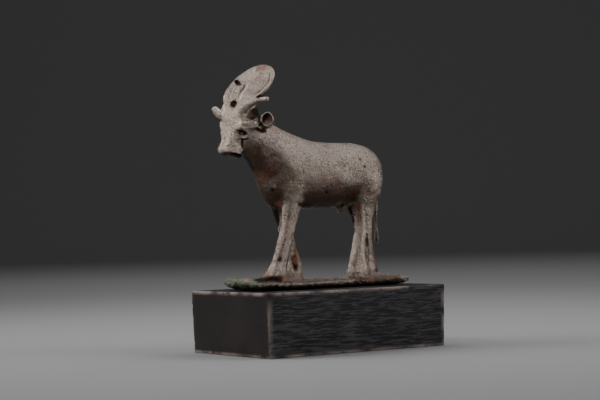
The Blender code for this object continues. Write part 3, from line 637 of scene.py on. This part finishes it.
    def far_stroke(self, path, height, width):
        """Repeats a stroke of the near side on the far side of the head."""
        hits = [self.twin(self.seen_at(pixel)[0]) for pixel in pixel_pairs(path)]
        places = [place for place, normal in hits]
        way = sum(normal for place, normal in hits)
        way /= np.linalg.norm(way)
        low = np.min(places, axis=0) - STROKE_REACH * width
        high = np.max(places, axis=0) + STROKE_REACH * width
        near = np.flatnonzero(np.all((self.points > low) & (self.points < high), axis=1))
        away = distance_to_path(self.points[near], places) / width
        weight = np.exp(-(away ** 2)) * np.clip(self.normals[near] @ way * FAR_GAIN, 0.0, 1.0)
        weight *= self.own_side(near, -1.0)
        self.push(near, weight, height)
        self.tone[near] += weight * stroke_tone(height)

    def patch(self, outline, height, edge, tone):
        """Moves and tones what shows inside an outline of pixels, easing over its edge."""
        near, weight = self.within(outline, edge)
        self.push(near, weight * self.facing[near], height)
        self.tone[near] += weight * tone

    def smooth_patch(self, outline, edge, passes):
        """Evens out what shows inside an outline of pixels."""
        near, weight = self.within(outline, edge)
        share = np.zeros(len(self.points))
        share[near] = EASE_SHARE * weight
        self.ease(passes, share)


def new_object(name, data):
    """A new object in the scene, at the origin."""
    made = bpy.data.objects.new(name, data)
    bpy.context.scene.collection.objects.link(made)
    return made


def coat(mesh, material):
    """Gives a mesh one material and smooth shading."""
    mesh.materials.clear()
    mesh.materials.append(material)
    mesh.shade_smooth()


def merged_copy(node, name):
    """A CAD node's mesh as a new object with its loose triangles joined."""
    bm = bmesh.new()
    bm.from_mesh(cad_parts[node].data)
    bmesh.ops.remove_doubles(bm, verts=bm.verts, dist=MERGE)
    mesh = bpy.data.meshes.new(name)
    bm.to_mesh(mesh)
    bm.free()
    return new_object(name, mesh)


def settle(piece):
    """Makes a piece's modifiers part of its mesh."""
    graph = bpy.context.evaluated_depsgraph_get()
    mesh = bpy.data.meshes.new_from_object(piece.evaluated_get(graph))
    piece.modifiers.clear()
    piece.data = mesh


def grow_skin(piece, grid):
    """An even fine skin over a coarse solid."""
    remesh = piece.modifiers.new("skin", "REMESH")
    remesh.mode = "VOXEL"
    remesh.voxel_size = grid
    settle(piece)


def on_head(place):
    """True on the head and headdress, whose disc leans back over the neck."""
    forward, height = FINE_FROM
    return place.z > height and place.y < forward + max(0.0, place.z - LEAN_FROM) * LEAN


def refine_head(mesh):
    """Halves the grid of the skin on the head and headdress."""
    bm = bmesh.new()
    bm.from_mesh(mesh)
    head = [edge for edge in bm.edges if all(on_head(vert.co) for vert in edge.verts)]
    bmesh.ops.subdivide_edges(bm, edges=head, cuts=1, smooth=0.0, use_grid_fill=True)
    bmesh.ops.triangulate(bm, faces=[face for face in bm.faces if len(face.verts) > 4])
    bm.to_mesh(mesh)
    bm.free()


def ease_facets(clay):
    """Eases the solid's facets away, less on the head so that its edges stay crisp."""
    forward, height = FINE_FROM
    head = smooth_share(forward - clay.points[:, 1], 0.0, HEAD_BAND)
    head *= smooth_share(clay.points[:, 2] - height, 0.0, HEAD_BAND)
    for step in range(BODY_EASING):
        share = EASE_SHARE if step < HEAD_EASING else EASE_SHARE * (1.0 - head)
        clay.ease(1, np.broadcast_to(share, head.shape))
    clay.keep()
    clay.refresh()


def carve_bull(clay):
    """The carving that shows on the near side, with the head's own repeated on its far side."""
    clay.smooth_patch(FACE_PLANE, FACE_EDGE, FACE_EASING)
    for x, y, reach, right, up in GRABS:
        clay.grab((x, y), reach * MM, right * MM, up * MM)
    clay.keep()
    clay.refresh()
    height, width, *path = MUZZLE_CHAMFER
    clay.stroke(path, height * MM, width * MM, toned=False)
    for outline, height, edge, tone in PATCHES:
        clay.patch(outline, height * MM, edge, tone)
    for tone, width, *path in TONE_STROKES:
        clay.tint(path, width * MM, tone)
    for height, width, *path in DISC_STROKES + LEG_STROKES + MUZZLE_STROKES + EAR_RIM:
        clay.stroke(path, height * MM, width * MM)
    for height, width, *path in FACE_STROKES + FACE_DABS:
        clay.stroke(path, height * MM, width * MM, 1.0)
        clay.far_stroke(path, height * MM, width * MM)
    for height, width, *path in BODY_DABS:
        clay.stroke(path, height * MM, width * MM)
    clay.keep()


# The skin's noises: scales, per millimetre, and weights.
LUMPS = ((0.16, 1.0), (0.41, 0.5))
CRUST = ((0.85, 1.0), (1.7, 0.6))
# The legs and the plate are rougher: below this height, reached over this band, in millimetres.
LEGS_BELOW = (78.0, 14.0)
PLATE_BELOW = (38.2, 1.5)
# The crust's height on the body, and what the legs and the plate add.
CRUST_BODY, CRUST_LEGS, CRUST_PLATE = 0.12, 0.50, 0.90
# The pits: scale, share of a cell that sinks, steepness, and strength on the body and what the
# legs add. They come in patches, more of them on the legs, and are deepest in the plate.
PIT_SCALE, PIT_SHARE, PIT_STEEPNESS = 0.62, 0.42, 1.5
PIT_BODY, PIT_LEGS = 0.15, 0.85
PATCH_SCALE, PATCH_SHIFT = 0.11, (7.0, 3.0, 1.0)
PATCH_BODY, PATCH_LEGS = 0.25, 0.40
PLATE_PITS = 1.2


def layered(place, layers):
    """Noise of several grains at a place."""
    return sum(weight * noise.noise(place * scale) for scale, weight in layers)


def share_below(value, height, band):
    """0 above a height and 1 a band below it."""
    return min(1.0, max(0.0, (height - value) / band))


def pit_share(place, low):
    """How deep a corrosion pit is at a place, low being 1 on the legs."""
    reach = noise.voronoi(place * PIT_SCALE)[0][0]
    patchy = noise.noise(place * PATCH_SCALE + Vector(PATCH_SHIFT)) + PATCH_BODY + PATCH_LEGS * low
    sunk = max(0.0, 1.0 - reach / PIT_SHARE) ** PIT_STEEPNESS
    return sunk * max(0.0, patchy) * (PIT_BODY + PIT_LEGS * low)


def roughen(clay, settings):
    """Soft lumps all over, pits, and a coarser crust on the legs and the plate."""
    push = np.empty(len(clay.points))
    for index, (x, y, z) in enumerate(clay.points * TO_MM):
        place = Vector((x, y, z))
        low = share_below(z, *LEGS_BELOW)
        plate = share_below(z, *PLATE_BELOW)
        rough = CRUST_BODY + CRUST_LEGS * low + CRUST_PLATE * plate
        push[index] = (
            layered(place, LUMPS) * settings.lump_height
            + layered(place, CRUST) * settings.rough_height * rough
            - pit_share(place, low) * settings.pit_depth * (1.0 + PLATE_PITS * plate)
        )
    clay.points += clay.normals * push[:, None]
    clay.keep()


def hold_in_box(clay):
    """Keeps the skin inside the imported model's box."""
    low, high = (np.array(corner) for corner in CAD_BOX)
    clay.points = np.clip(clay.points, low, high)
    clay.keep()


def sharpness(clay):
    """How far each point stands out from its neighbours, evened out a little."""
    lengths = np.linalg.norm(clay.points[clay.first] - clay.points[clay.second], axis=1)
    count = len(clay.points)
    step = np.bincount(clay.first, lengths, count) + np.bincount(clay.second, lengths, count)
    step = np.maximum(step / clay.degree, TINY)
    stands = np.einsum("ij,ij->i", clay.points - clay.around(), clay.normals) / step ** 2
    for _ in range(SHARP_PASSES):
        stands = 0.5 * stands + 0.5 * clay.neighbours(stands)
    return stands


def crust_share(clay, seen, hidden):
    """How strongly a crust colours each point."""
    share = np.zeros(len(clay.points))
    spots = [(strength, reach, clay.seen_at(pixel)[0]) for strength, reach, *pixel in seen]
    spots += [(strength, reach, np.array(place)) for strength, reach, *place in hidden]
    for strength, reach, place in spots:
        away = np.linalg.norm(clay.points - place, axis=1) / (reach * MM)
        share = np.maximum(share, strength * np.exp(-(away ** 2)))
    return share


def paint_marks(mesh, name, marks):
    """Keeps four marks for each point as a colour attribute."""
    mesh.color_attributes.new(name, "FLOAT_COLOR", "POINT")
    colours = marks.astype(np.float32).ravel()
    mesh.color_attributes[name].data.foreach_set("color", colours)


# Where the skin's tone changes, in metres: how far forward and how high the head begins, how
# low the legs and the plate do, and how far down a surface on the underside is turned for its
# painted shade.
FORWARD = (0.036, 0.046)
RAISED = (0.090, 0.104)
LOW = (-0.074, -0.056)
ON_PLATE = (-0.0382, -0.0367)
TURNED_DOWN = (-0.30, 0.60)
# The tone of plain skin, and what each part adds to it. The underside's darkening is painted
# shade, and the throat's lift eases that painted shade on the neck and chest.
PLAIN_TONE = 0.5
PLATE_TONE = -0.26
HEAD_TONE = 0.28
LEG_TONE = 0.12
UNDERSIDE_SHADE = -0.37
THROAT_TONE = 0.08
# The sharpness that counts as full, and the passes that even it out.
FULL_SHARPNESS = 2400.0
SHARP_PASSES = 2


def paint_patina_and_shading(clay):
    """Marks on each point: red crust, green crust, sharpness, and tone with 0.5 for plain. The tone
    holds the painted shade and painted highlights.
    """
    red = crust_share(clay, RED_CRUSTS, HIDDEN_RED)
    green = crust_share(clay, GREEN_CRUSTS, HIDDEN_GREEN)
    sharp = np.clip(0.5 + sharpness(clay) / FULL_SHARPNESS, 0.0, 1.0)
    forward = smooth_share(-clay.points[:, 1], *FORWARD)
    raised = smooth_share(clay.points[:, 2], *RAISED)
    low = smooth_share(-clay.points[:, 2], *LOW)
    plate = smooth_share(-clay.points[:, 2], *ON_PLATE)
    # Painted shade on surfaces turned down, off the legs.
    underside_shade = smooth_share(-clay.normals[:, 2], *TURNED_DOWN) * (1.0 - low)
    throat = forward * (1.0 - raised) * (1.0 - low)
    tone = PLAIN_TONE + PLATE_TONE * plate + HEAD_TONE * forward * raised + LEG_TONE * low
    tone += UNDERSIDE_SHADE * underside_shade + THROAT_TONE * throat
    tone = np.clip(tone + clay.tone, 0.0, 1.0)
    paint_marks(clay.mesh, "patina", np.stack((red, green, sharp, tone), axis=1))


# The colour sockets of a Mix node.
FIRST_COLOUR, SECOND_COLOUR, MIXED_COLOUR = 6, 7, 2


class Finish:
    """A material's nodes, with short calls for the ones that the finishes share."""

    def __init__(self, name):
        self.material = bpy.data.materials.new(name)
        self.material.use_nodes = True
        self.tree = self.material.node_tree
        self.shader = self.tree.nodes["Principled BSDF"]
        self.place = self.node("TexCoord").outputs["Object"]

    def join(self, source, socket):
        """Links a node's output to a socket, or sets the socket to a plain value."""
        if isinstance(source, bpy.types.NodeSocket):
            self.tree.links.new(source, socket)
        elif socket.type == "RGBA":
            socket.default_value = (*source, 1.0)
        else:
            socket.default_value = source

    def node(self, kind, **inputs):
        """A new node with its inputs linked or set."""
        made = self.tree.nodes.new(f"ShaderNode{kind}")
        for name, source in inputs.items():
            self.join(source, made.inputs[name])
        return made

    def stretched(self, scale):
        """The place on the piece with each axis scaled."""
        return self.node("Mapping", Vector=self.place, Scale=scale).outputs["Vector"]

    def cloud(self, scale, detail, roughness, place=None):
        """Soft noise from 0 to 1."""
        place = place or self.place
        made = self.node("TexNoise", Vector=place, Scale=scale, Detail=detail, Roughness=roughness)
        return made.outputs["Fac"]

    def cells(self, scale):
        """The distance to the nearest of many scattered points."""
        return self.node("TexVoronoi", Vector=self.place, Scale=scale).outputs["Distance"]

    def combine(self, kind, *values):
        """Two or three values worked into one."""
        made = self.node("Math")
        made.operation = kind
        for value, socket in zip(values, made.inputs):
            self.join(value, socket)
        return made.outputs[0]

    def share(self, value, low, high, bottom=0.0, top=1.0):
        """Value mapped smoothly from low..high to bottom..top."""
        ends = {"From Min": low, "From Max": high, "To Min": bottom, "To Max": top}
        made = self.node("MapRange", Value=value, **ends)
        made.interpolation_type = "SMOOTHSTEP"
        return made.outputs["Result"]

    def blend(self, share, first, second):
        """The first colour going over to the second."""
        made = self.node("Mix", Factor=share)
        made.data_type = "RGBA"
        self.join(first, made.inputs[FIRST_COLOUR])
        self.join(second, made.inputs[SECOND_COLOUR])
        return made.outputs[MIXED_COLOUR]

    def marks(self, name):
        """The red, green, blue and alpha shares of a painted mark."""
        mark = self.node("Attribute")
        mark.attribute_name = name
        split = self.node("SeparateColor", Color=mark.outputs["Color"])
        return (*(split.outputs[word] for word in ("Red", "Green", "Blue")), mark.outputs["Alpha"])

    def bump(self, height, strength, distance):
        """Fine roughness that only shades the surface."""
        made = self.node("Bump", Strength=strength, Distance=distance, Height=height)
        self.join(made.outputs["Normal"], self.shader.inputs["Normal"])


# Noises in the bronze: scale, detail and roughness of each, and the scale of its fine pits.
BRONZE_CLOUDS = {
    "mottle": (120.0, 6.0, 0.62),
    "grain": (1050.0, 5.0, 0.75),
    "speck": (1500.0, 3.0, 0.65),
    "stain": (75.0, 5.0, 0.70),
}
PIT_CELLS = 620.0
# How much grain and mottle the mixed pattern has, and how much of the red mark and of grain the
# crusts have.
GRAIN_PART, MOTTLE_PART, RED_PART, CRUST_GRAIN = 0.60, 0.40, 0.85, 1.2
STAIN_RANGE = (0.52, 0.72, 0.0, 0.30)
RED_CRUST = ("ruddy", 0.85, 1.25, 0.0, 0.75)
GREEN_CRUST = ("mossy", 0.90, 1.25, 0.0, 0.75)
# The layers over the brown, lowest first: a colour, then the patterns and marks that it follows,
# each with the range over which it comes in and, unless 0 and 1, what it covers at its ends.
BRONZE_LAYERS = (
    ("grey", ("mixed", 0.36, 0.56)),
    # Tone above plain goes pale: the paler head and legs, and the painted highlights.
    ("pale", ("tone", 0.5, 1.0), ("mixed", 0.34, 0.5, 0.6, 1.0)),
    ("dark", ("grain", 0.42, 0.33, 0.0, 0.45)),
    # Tone below plain goes dark: painted shade.
    ("dark", ("tone", 0.5, 0.12, 0.0, 0.96)),
    # The lowest tone: the deepest painted shade.
    ("deepest_shade", ("tone", 0.16, 0.0, 0.0, 0.95)),
    ("red", RED_CRUST),
    ("green", GREEN_CRUST),
    ("dark", ("sharp", 0.42, 0.15)),
    # The highest tone: the brightest painted highlights.
    ("worn_and_highlight", ("tone", 0.88, 1.0, 0.0, 0.55)),
    ("worn_and_highlight", ("sharp", 0.58, 0.85), ("grain", 0.35, 0.6)),
    # Bright flecks: painted glints.
    ("worn_and_highlight", ("speck", 0.52, 0.64, 0.0, 0.80), ("tone", 0.3, 0.6)),
)
# Roughness from satin to matt, what a crust adds to it, and how a crust dulls the metal.
MATT_RANGE = (0.7, 1.3, 0.36, 0.50)
CRUST_MATT = 0.25
METAL_RANGE = (0.0, 1.0, 0.85, 0.35)
# Fine relief: the pits' range, the parts of pits and specks, and its strength and depth.
PIT_RANGE = (0.10, 0.45)
PIT_PART, SPECK_PART = 0.5, 0.6
BRONZE_BUMP = (0.90, 0.00042)


def aged_bronze(settings):
    """Brown and grey patina with red and green crusts, dark hollows and rubbed edges, with painted
    shade, highlights and glints.
    """
    finish = Finish("aged_bronze")
    red, green, sharp, tone = finish.marks("patina")
    found = {name: finish.cloud(*shape) for name, shape in BRONZE_CLOUDS.items()}
    grain = found["grain"]
    mottle = finish.combine("MULTIPLY", found["mottle"], MOTTLE_PART)
    ruddy = finish.share(found["stain"], *STAIN_RANGE)
    ruddy = finish.combine("MULTIPLY_ADD", red, RED_PART, ruddy)
    found.update(
        sharp=sharp,
        tone=tone,
        mixed=finish.combine("MULTIPLY_ADD", grain, GRAIN_PART, mottle),
        ruddy=finish.combine("MULTIPLY_ADD", grain, CRUST_GRAIN, ruddy),
        mossy=finish.combine("MULTIPLY_ADD", grain, CRUST_GRAIN, green),
    )

    def cover(pattern, *ends):
        return finish.share(found[pattern], *ends)

    colour = settings.brown
    for name, first, *others in BRONZE_LAYERS:
        share = cover(*first)
        for other in others:
            share = finish.combine("MULTIPLY", share, cover(*other))
        colour = finish.blend(share, colour, getattr(settings, name))
    finish.join(colour, finish.shader.inputs["Base Color"])
    crust = finish.combine("MAXIMUM", cover(*GREEN_CRUST), cover(*RED_CRUST))
    matt = finish.share(finish.combine("ADD", found["mottle"], grain), *MATT_RANGE)
    matt = finish.combine("MULTIPLY_ADD", crust, CRUST_MATT, matt)
    finish.join(matt, finish.shader.inputs["Roughness"])
    finish.join(finish.share(crust, *METAL_RANGE), finish.shader.inputs["Metallic"])
    pits = finish.share(finish.cells(PIT_CELLS), *PIT_RANGE)
    relief = finish.combine("MULTIPLY_ADD", pits, PIT_PART, grain)
    relief = finish.combine("MULTIPLY_ADD", found["speck"], SPECK_PART, relief)
    finish.bump(relief, *BRONZE_BUMP)
    return finish.material


# Noises in the wood: scale, detail and roughness, and how the lengthwise ones are stretched.
STREAK, STREAK_STRETCH = (1.0, 6.0, 0.75), (900.0, 90.0, 1300.0)
BROAD, BROAD_STRETCH = (1.0, 4.0, 0.60), (90.0, 30.0, 260.0)
END_MOTTLE = (60.0, 4.0, 0.5)
RUB_BREAKS = (260.0, 4.0, 0.7)
# Where the stain varies, by the same noises, and the colours that it varies to.
STREAK_RANGE, STREAK_GREY = (0.48, 0.57), (0.075, 0.071, 0.080)
BROAD_RANGE, BROAD_GREY = (0.50, 0.66, 0.0, 0.70), (0.080, 0.068, 0.070)
END_RANGE, END_BROWN = (0.35, 0.7), (0.030, 0.022, 0.019)
RUB_RANGE = (0.30, 0.50)
WOOD_MATT = (0.3, 0.7, 0.36, 0.58)
WOOD_GLOSS = 0.38
WOOD_BUMP = (0.60, 0.00020)


def stained_wood(settings):
    """Black stain with fine lengthwise grain, browner ends and rubbed edges."""
    finish = Finish("black_wood")
    end, edge, _, _ = finish.marks("wear")
    streak = finish.cloud(*STREAK, finish.stretched(STREAK_STRETCH))
    broad = finish.share(finish.cloud(*BROAD, finish.stretched(BROAD_STRETCH)), *BROAD_RANGE)
    mottle = finish.share(finish.cloud(*END_MOTTLE), *END_RANGE)
    rub = finish.share(finish.cloud(*RUB_BREAKS), *RUB_RANGE)
    colour = finish.blend(finish.share(streak, *STREAK_RANGE), settings.black, STREAK_GREY)
    colour = finish.blend(broad, colour, BROAD_GREY)
    colour = finish.blend(end, colour, finish.blend(mottle, settings.brown, END_BROWN))
    colour = finish.blend(finish.combine("MULTIPLY", edge, rub), colour, settings.bare)
    finish.join(colour, finish.shader.inputs["Base Color"])
    finish.join(finish.share(streak, *WOOD_MATT), finish.shader.inputs["Roughness"])
    finish.shader.inputs["Specular IOR Level"].default_value = WOOD_GLOSS
    finish.bump(streak, *WOOD_BUMP)
    return finish.material


FLOOR_MATT = 0.9


def plain_floor(settings):
    """Plain pale paint."""
    finish = Finish("pale_floor")
    finish.join(settings.floor, finish.shader.inputs["Base Color"])
    finish.shader.inputs["Roughness"].default_value = FLOOR_MATT
    return finish.material


class APIS_OT_bronze_bull(bpy.types.Operator):
    """Makes the bull's carved and weathered bronze skin"""

    bl_idname = "apis.bronze_bull"
    bl_label = "Bronze bull"

    def execute(self, context):
        settings = context.scene.apis_bronze
        piece = merged_copy("apis_bull", "bronze_bull")
        grow_skin(piece, settings.skin_grid)
        refine_head(piece.data)
        clay = Clay(piece.data)
        ease_facets(clay)
        carve_bull(clay)
        roughen(clay, settings)
        hold_in_box(clay)
        paint_patina_and_shading(clay)
        coat(piece.data, aged_bronze(settings))
        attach(piece, "root")
        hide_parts("apis_bull")
        return {"FINISHED"}


# The block's grid and the noises that wear it, in millimetres or per millimetre.
BLOCK_STEPS = (0.7, 3.0, 0.35)
GRAIN_STRETCH = (1.3, 0.05, 1.9)
FINE_STRETCH = (2.4, 0.11, 3.1)
FINE_PART = 0.5
CHIP_SCALE = 0.33
RUB_SCALE = 0.12
# The grain filled on the ends, the noise that chips nothing, the rubbing of the edges, and how
# even it is.
END_FILL, CHIP_FROM, RUB_GAIN, RUB_EVEN = 0.8, 0.12, 1.6, 0.55
# How far in the ends' finish and the rubbed edges reach, and the deepest chip, in metres.
END_BAND, EDGE_BAND, CHIP_DEPTH = 0.0009, 0.0018, 0.0011
# A cut this close to a point goes through it, and faces this close to flat are one, in radians.
CUT_SNAP = 1e-7
FLAT_ANGLE = 0.01


def cut_grid(bm, low, high):
    """Cuts a block into a grid that is fine across the grain and long with it."""
    for axis, step in enumerate(BLOCK_STEPS):
        count = round((high[axis] - low[axis]) / (step * MM))
        normal = [0.0, 0.0, 0.0]
        normal[axis] = 1.0
        for index in range(1, count):
            at = low[axis] + (high[axis] - low[axis]) * index / count
            place = [at if other == axis else 0.0 for other in range(3)]
            geom = bm.verts[:] + bm.edges[:] + bm.faces[:]
            bmesh.ops.bisect_plane(bm, geom=geom, dist=CUT_SNAP, plane_co=place, plane_no=normal)


def grain_noise(place, stretch):
    """Open grain: noise drawn out along the block, never below 0."""
    return max(0.0, noise.noise(Vector([at * scale for at, scale in zip(place, stretch)])))


def wear_block(bm, low, high, settings):
    """Opens the grain on the long sides and rubs the edges, and marks ends and edges."""
    marks = []
    for vert in bm.verts:
        place = vert.co * TO_MM
        gaps = [min(vert.co[axis] - low[axis], high[axis] - vert.co[axis]) for axis in range(3)]
        end = 1.0 if gaps[1] < END_BAND else 0.0
        edge = max(0.0, 1.0 - sorted(gaps)[1] / EDGE_BAND)
        grain = grain_noise(place, GRAIN_STRETCH) + FINE_PART * grain_noise(place, FINE_STRETCH)
        sink = grain * settings.grain_depth * (1.0 - END_FILL * end)
        chip = max(0.0, noise.noise(place * CHIP_SCALE) - CHIP_FROM) * edge * CHIP_DEPTH
        rubbed = min(1.0, edge * RUB_GAIN * (RUB_EVEN + noise.noise(place * RUB_SCALE)))
        vert.co -= vert.normal * (sink + chip)
        marks.append((end, rubbed, 0.0, 1.0))
    return marks


class APIS_OT_wooden_block(bpy.types.Operator):
    """Makes the wooden block with its grain and worn edges"""

    bl_idname = "apis.wooden_block"
    bl_label = "Wooden block"

    def execute(self, context):
        settings = context.scene.apis_block
        piece = merged_copy("wooden_block", "black_block")
        low, high = (Vector(corner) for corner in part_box("wooden_block"))
        bm = bmesh.new()
        bm.from_mesh(piece.data)
        bmesh.ops.dissolve_limit(bm, angle_limit=FLAT_ANGLE, verts=bm.verts, edges=bm.edges)
        cut_grid(bm, low, high)
        bm.normal_update()
        marks = wear_block(bm, low, high, settings)
        bm.to_mesh(piece.data)
        bm.free()
        paint_marks(piece.data, "wear", np.array(marks))
        coat(piece.data, stained_wood(settings))
        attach(piece, "root")
        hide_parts("wooden_block")
        return {"FINISHED"}


# The studio: a pale floor that curves up into a round wall, in metres.
FLOOR_RADIUS = 2.2
WALL_RADIUS = 3.0
WALL_HEIGHT = 2.6
BEND_STEPS = 12
ROUND_STEPS = 96
# The little light that comes from all round.
AIR_COLOUR = (0.55, 0.57, 0.60, 1.0)
AIR_STRENGTH = 0.01
CLIP_START = 0.01

# The lights' aim, at the bull's middle.
AIM = (0.0, -0.004, 0.080)
# Soft lights as the camera sees them: name, watts, metres wide, direction across the picture,
# upward and towards the camera, and metres from the bull.
LIGHTS = (
    ("left_light", 0.86, 0.60, (-0.90, 0.45, 0.00), 0.90),
    ("right_light", 0.64, 0.60, (0.82, 0.47, 0.20), 0.90),
    ("top_light", 0.48, 0.60, (-0.35, 0.90, -0.30), 0.90),
    ("back_light", 0.28, 0.60, (0.50, 0.90, -0.40), 0.90),
    ("front_light", 0.14, 0.60, (-0.20, 0.35, 0.90), 0.90),
)
LIGHT_SPREAD = 80.0
# The light on the backdrop: watts, metres wide, behind the bull and above the floor.
BACKDROP_POWER = 3.0
BACKDROP_SIZE = 0.8
BACKDROP_BEHIND = 0.7
BACKDROP_HEIGHT = 0.9


def hang_light(name, power, size, place, way):
    """A square soft light at a place that shines one way."""
    data = bpy.data.lights.new(name, "AREA")
    data.energy = power
    data.size = size
    lamp = new_object(name, data)
    lamp.location = place
    lamp.rotation_euler = way.to_track_quat("-Z", "Y").to_euler()
    return data


def soft_light(name, power, size, place, distance):
    """A soft light, placed from the camera's point of view and turned to the bull."""
    across, upward, towards = place
    side, _, ahead = camera_axes()
    direction = side * across + Vector((0.0, 0.0, 1.0)) * upward - ahead * towards
    place = Vector(AIM) + direction.normalized() * distance
    hang_light(name, power, size, place, -direction).spread = math.radians(LIGHT_SPREAD)


class APIS_OT_studio(bpy.types.Operator):
    """Makes the floor, the lights and the camera"""

    bl_idname = "apis.studio"
    bl_label = "Studio"

    def execute(self, context):
        settings = context.scene.apis_studio
        self.floor(settings)
        for name, power, size, place, distance in LIGHTS:
            soft_light(name, power * settings.strength, size, place, distance)
        self.backdrop_light(settings)
        self.camera(context)
        world = bpy.data.worlds.new("studio_air")
        world.use_nodes = True
        air = world.node_tree.nodes["Background"]
        air.inputs["Color"].default_value = AIR_COLOUR
        air.inputs["Strength"].default_value = AIR_STRENGTH
        context.scene.world = world
        return {"FINISHED"}

    def backdrop_light(self, settings):
        """A soft light behind the bull that shines down and back on the floor."""
        ahead = camera_axes()[2]
        flat = Vector((ahead.x, ahead.y, 0.0)).normalized()
        up = Vector((0.0, 0.0, 1.0))
        power = BACKDROP_POWER * settings.strength
        place = flat * BACKDROP_BEHIND + up * BACKDROP_HEIGHT
        hang_light("backdrop_light", power, BACKDROP_SIZE, place, flat - up)

    def floor(self, settings):
        """A disc whose edge is swept up through a quarter round to a wall."""
        bend = WALL_RADIUS - FLOOR_RADIUS
        bm = bmesh.new()
        profile = [(0.0, 0.0), (FLOOR_RADIUS, 0.0)]
        for step in range(1, BEND_STEPS + 1):
            angle = math.pi / 2 * step / BEND_STEPS
            profile.append((FLOOR_RADIUS + bend * math.sin(angle), bend * (1.0 - math.cos(angle))))
        profile.append((WALL_RADIUS, WALL_HEIGHT))
        verts = [bm.verts.new((radius, 0.0, height)) for radius, height in profile]
        edges = [bm.edges.new(pair) for pair in zip(verts, verts[1:])]
        bmesh.ops.spin(
            bm, geom=verts + edges, cent=(0, 0, 0), axis=(0, 0, 1), angle=2 * math.pi,
            steps=ROUND_STEPS, use_merge=True,
        )
        bmesh.ops.remove_doubles(bm, verts=bm.verts, dist=MERGE)
        bmesh.ops.recalc_face_normals(bm, faces=bm.faces)
        mesh = bpy.data.meshes.new("studio_floor")
        bm.to_mesh(mesh)
        bm.free()
        coat(mesh, plain_floor(settings))
        floor = new_object("studio_floor", mesh)

    def camera(self, context):
        """The camera that took the photograph."""
        across, upward, forward = camera_axes()
        data = bpy.data.cameras.new("photo_camera")
        data.lens = LENS_MM
        data.sensor_width = SENSOR_MM
        data.clip_start = CLIP_START
        camera = new_object("photo_camera", data)
        turn = Matrix((across, upward, -forward)).transposed().to_4x4()
        camera.matrix_world = Matrix.Translation(CAMERA_AT) @ turn
        context.scene.camera = camera


class APIS_PT_panel(bpy.types.Panel):
    """Lists the pieces and the studio in the sidebar"""

    bl_label = "Apis bull"
    bl_idname = "APIS_PT_panel"
    bl_space_type = "VIEW_3D"
    bl_region_type = "UI"
    bl_category = "Apis Bull"

    def draw(self, context):
        for operator, name in PIECES:
            box = self.layout.box()
            box.operator(operator.bl_idname)
            settings = getattr(context.scene, name)
            for key in settings.__annotations__:
                box.prop(settings, key)


PIECES = (
    (APIS_OT_studio, "apis_studio"),
    (APIS_OT_wooden_block, "apis_block"),
    (APIS_OT_bronze_bull, "apis_bronze"),
)
SETTINGS = {
    "apis_studio": StudioSettings,
    "apis_block": BlockSettings,
    "apis_bronze": BronzeSettings,
}
CLASSES = (*SETTINGS.values(), *(operator for operator, name in PIECES), APIS_PT_panel)


def register():
    for kind in CLASSES:
        bpy.utils.register_class(kind)
    for name, group in SETTINGS.items():
        setattr(bpy.types.Scene, name, PointerProperty(type=group))


def unregister():
    for name in SETTINGS:
        delattr(bpy.types.Scene, name)
    for kind in reversed(CLASSES):
        bpy.utils.unregister_class(kind)


def main():
    """Makes the pieces and the studio."""
    register()
    bpy.ops.apis.studio()
    bpy.ops.apis.wooden_block()
    bpy.ops.apis.bronze_bull()


if __name__ == "__main__":
    main()
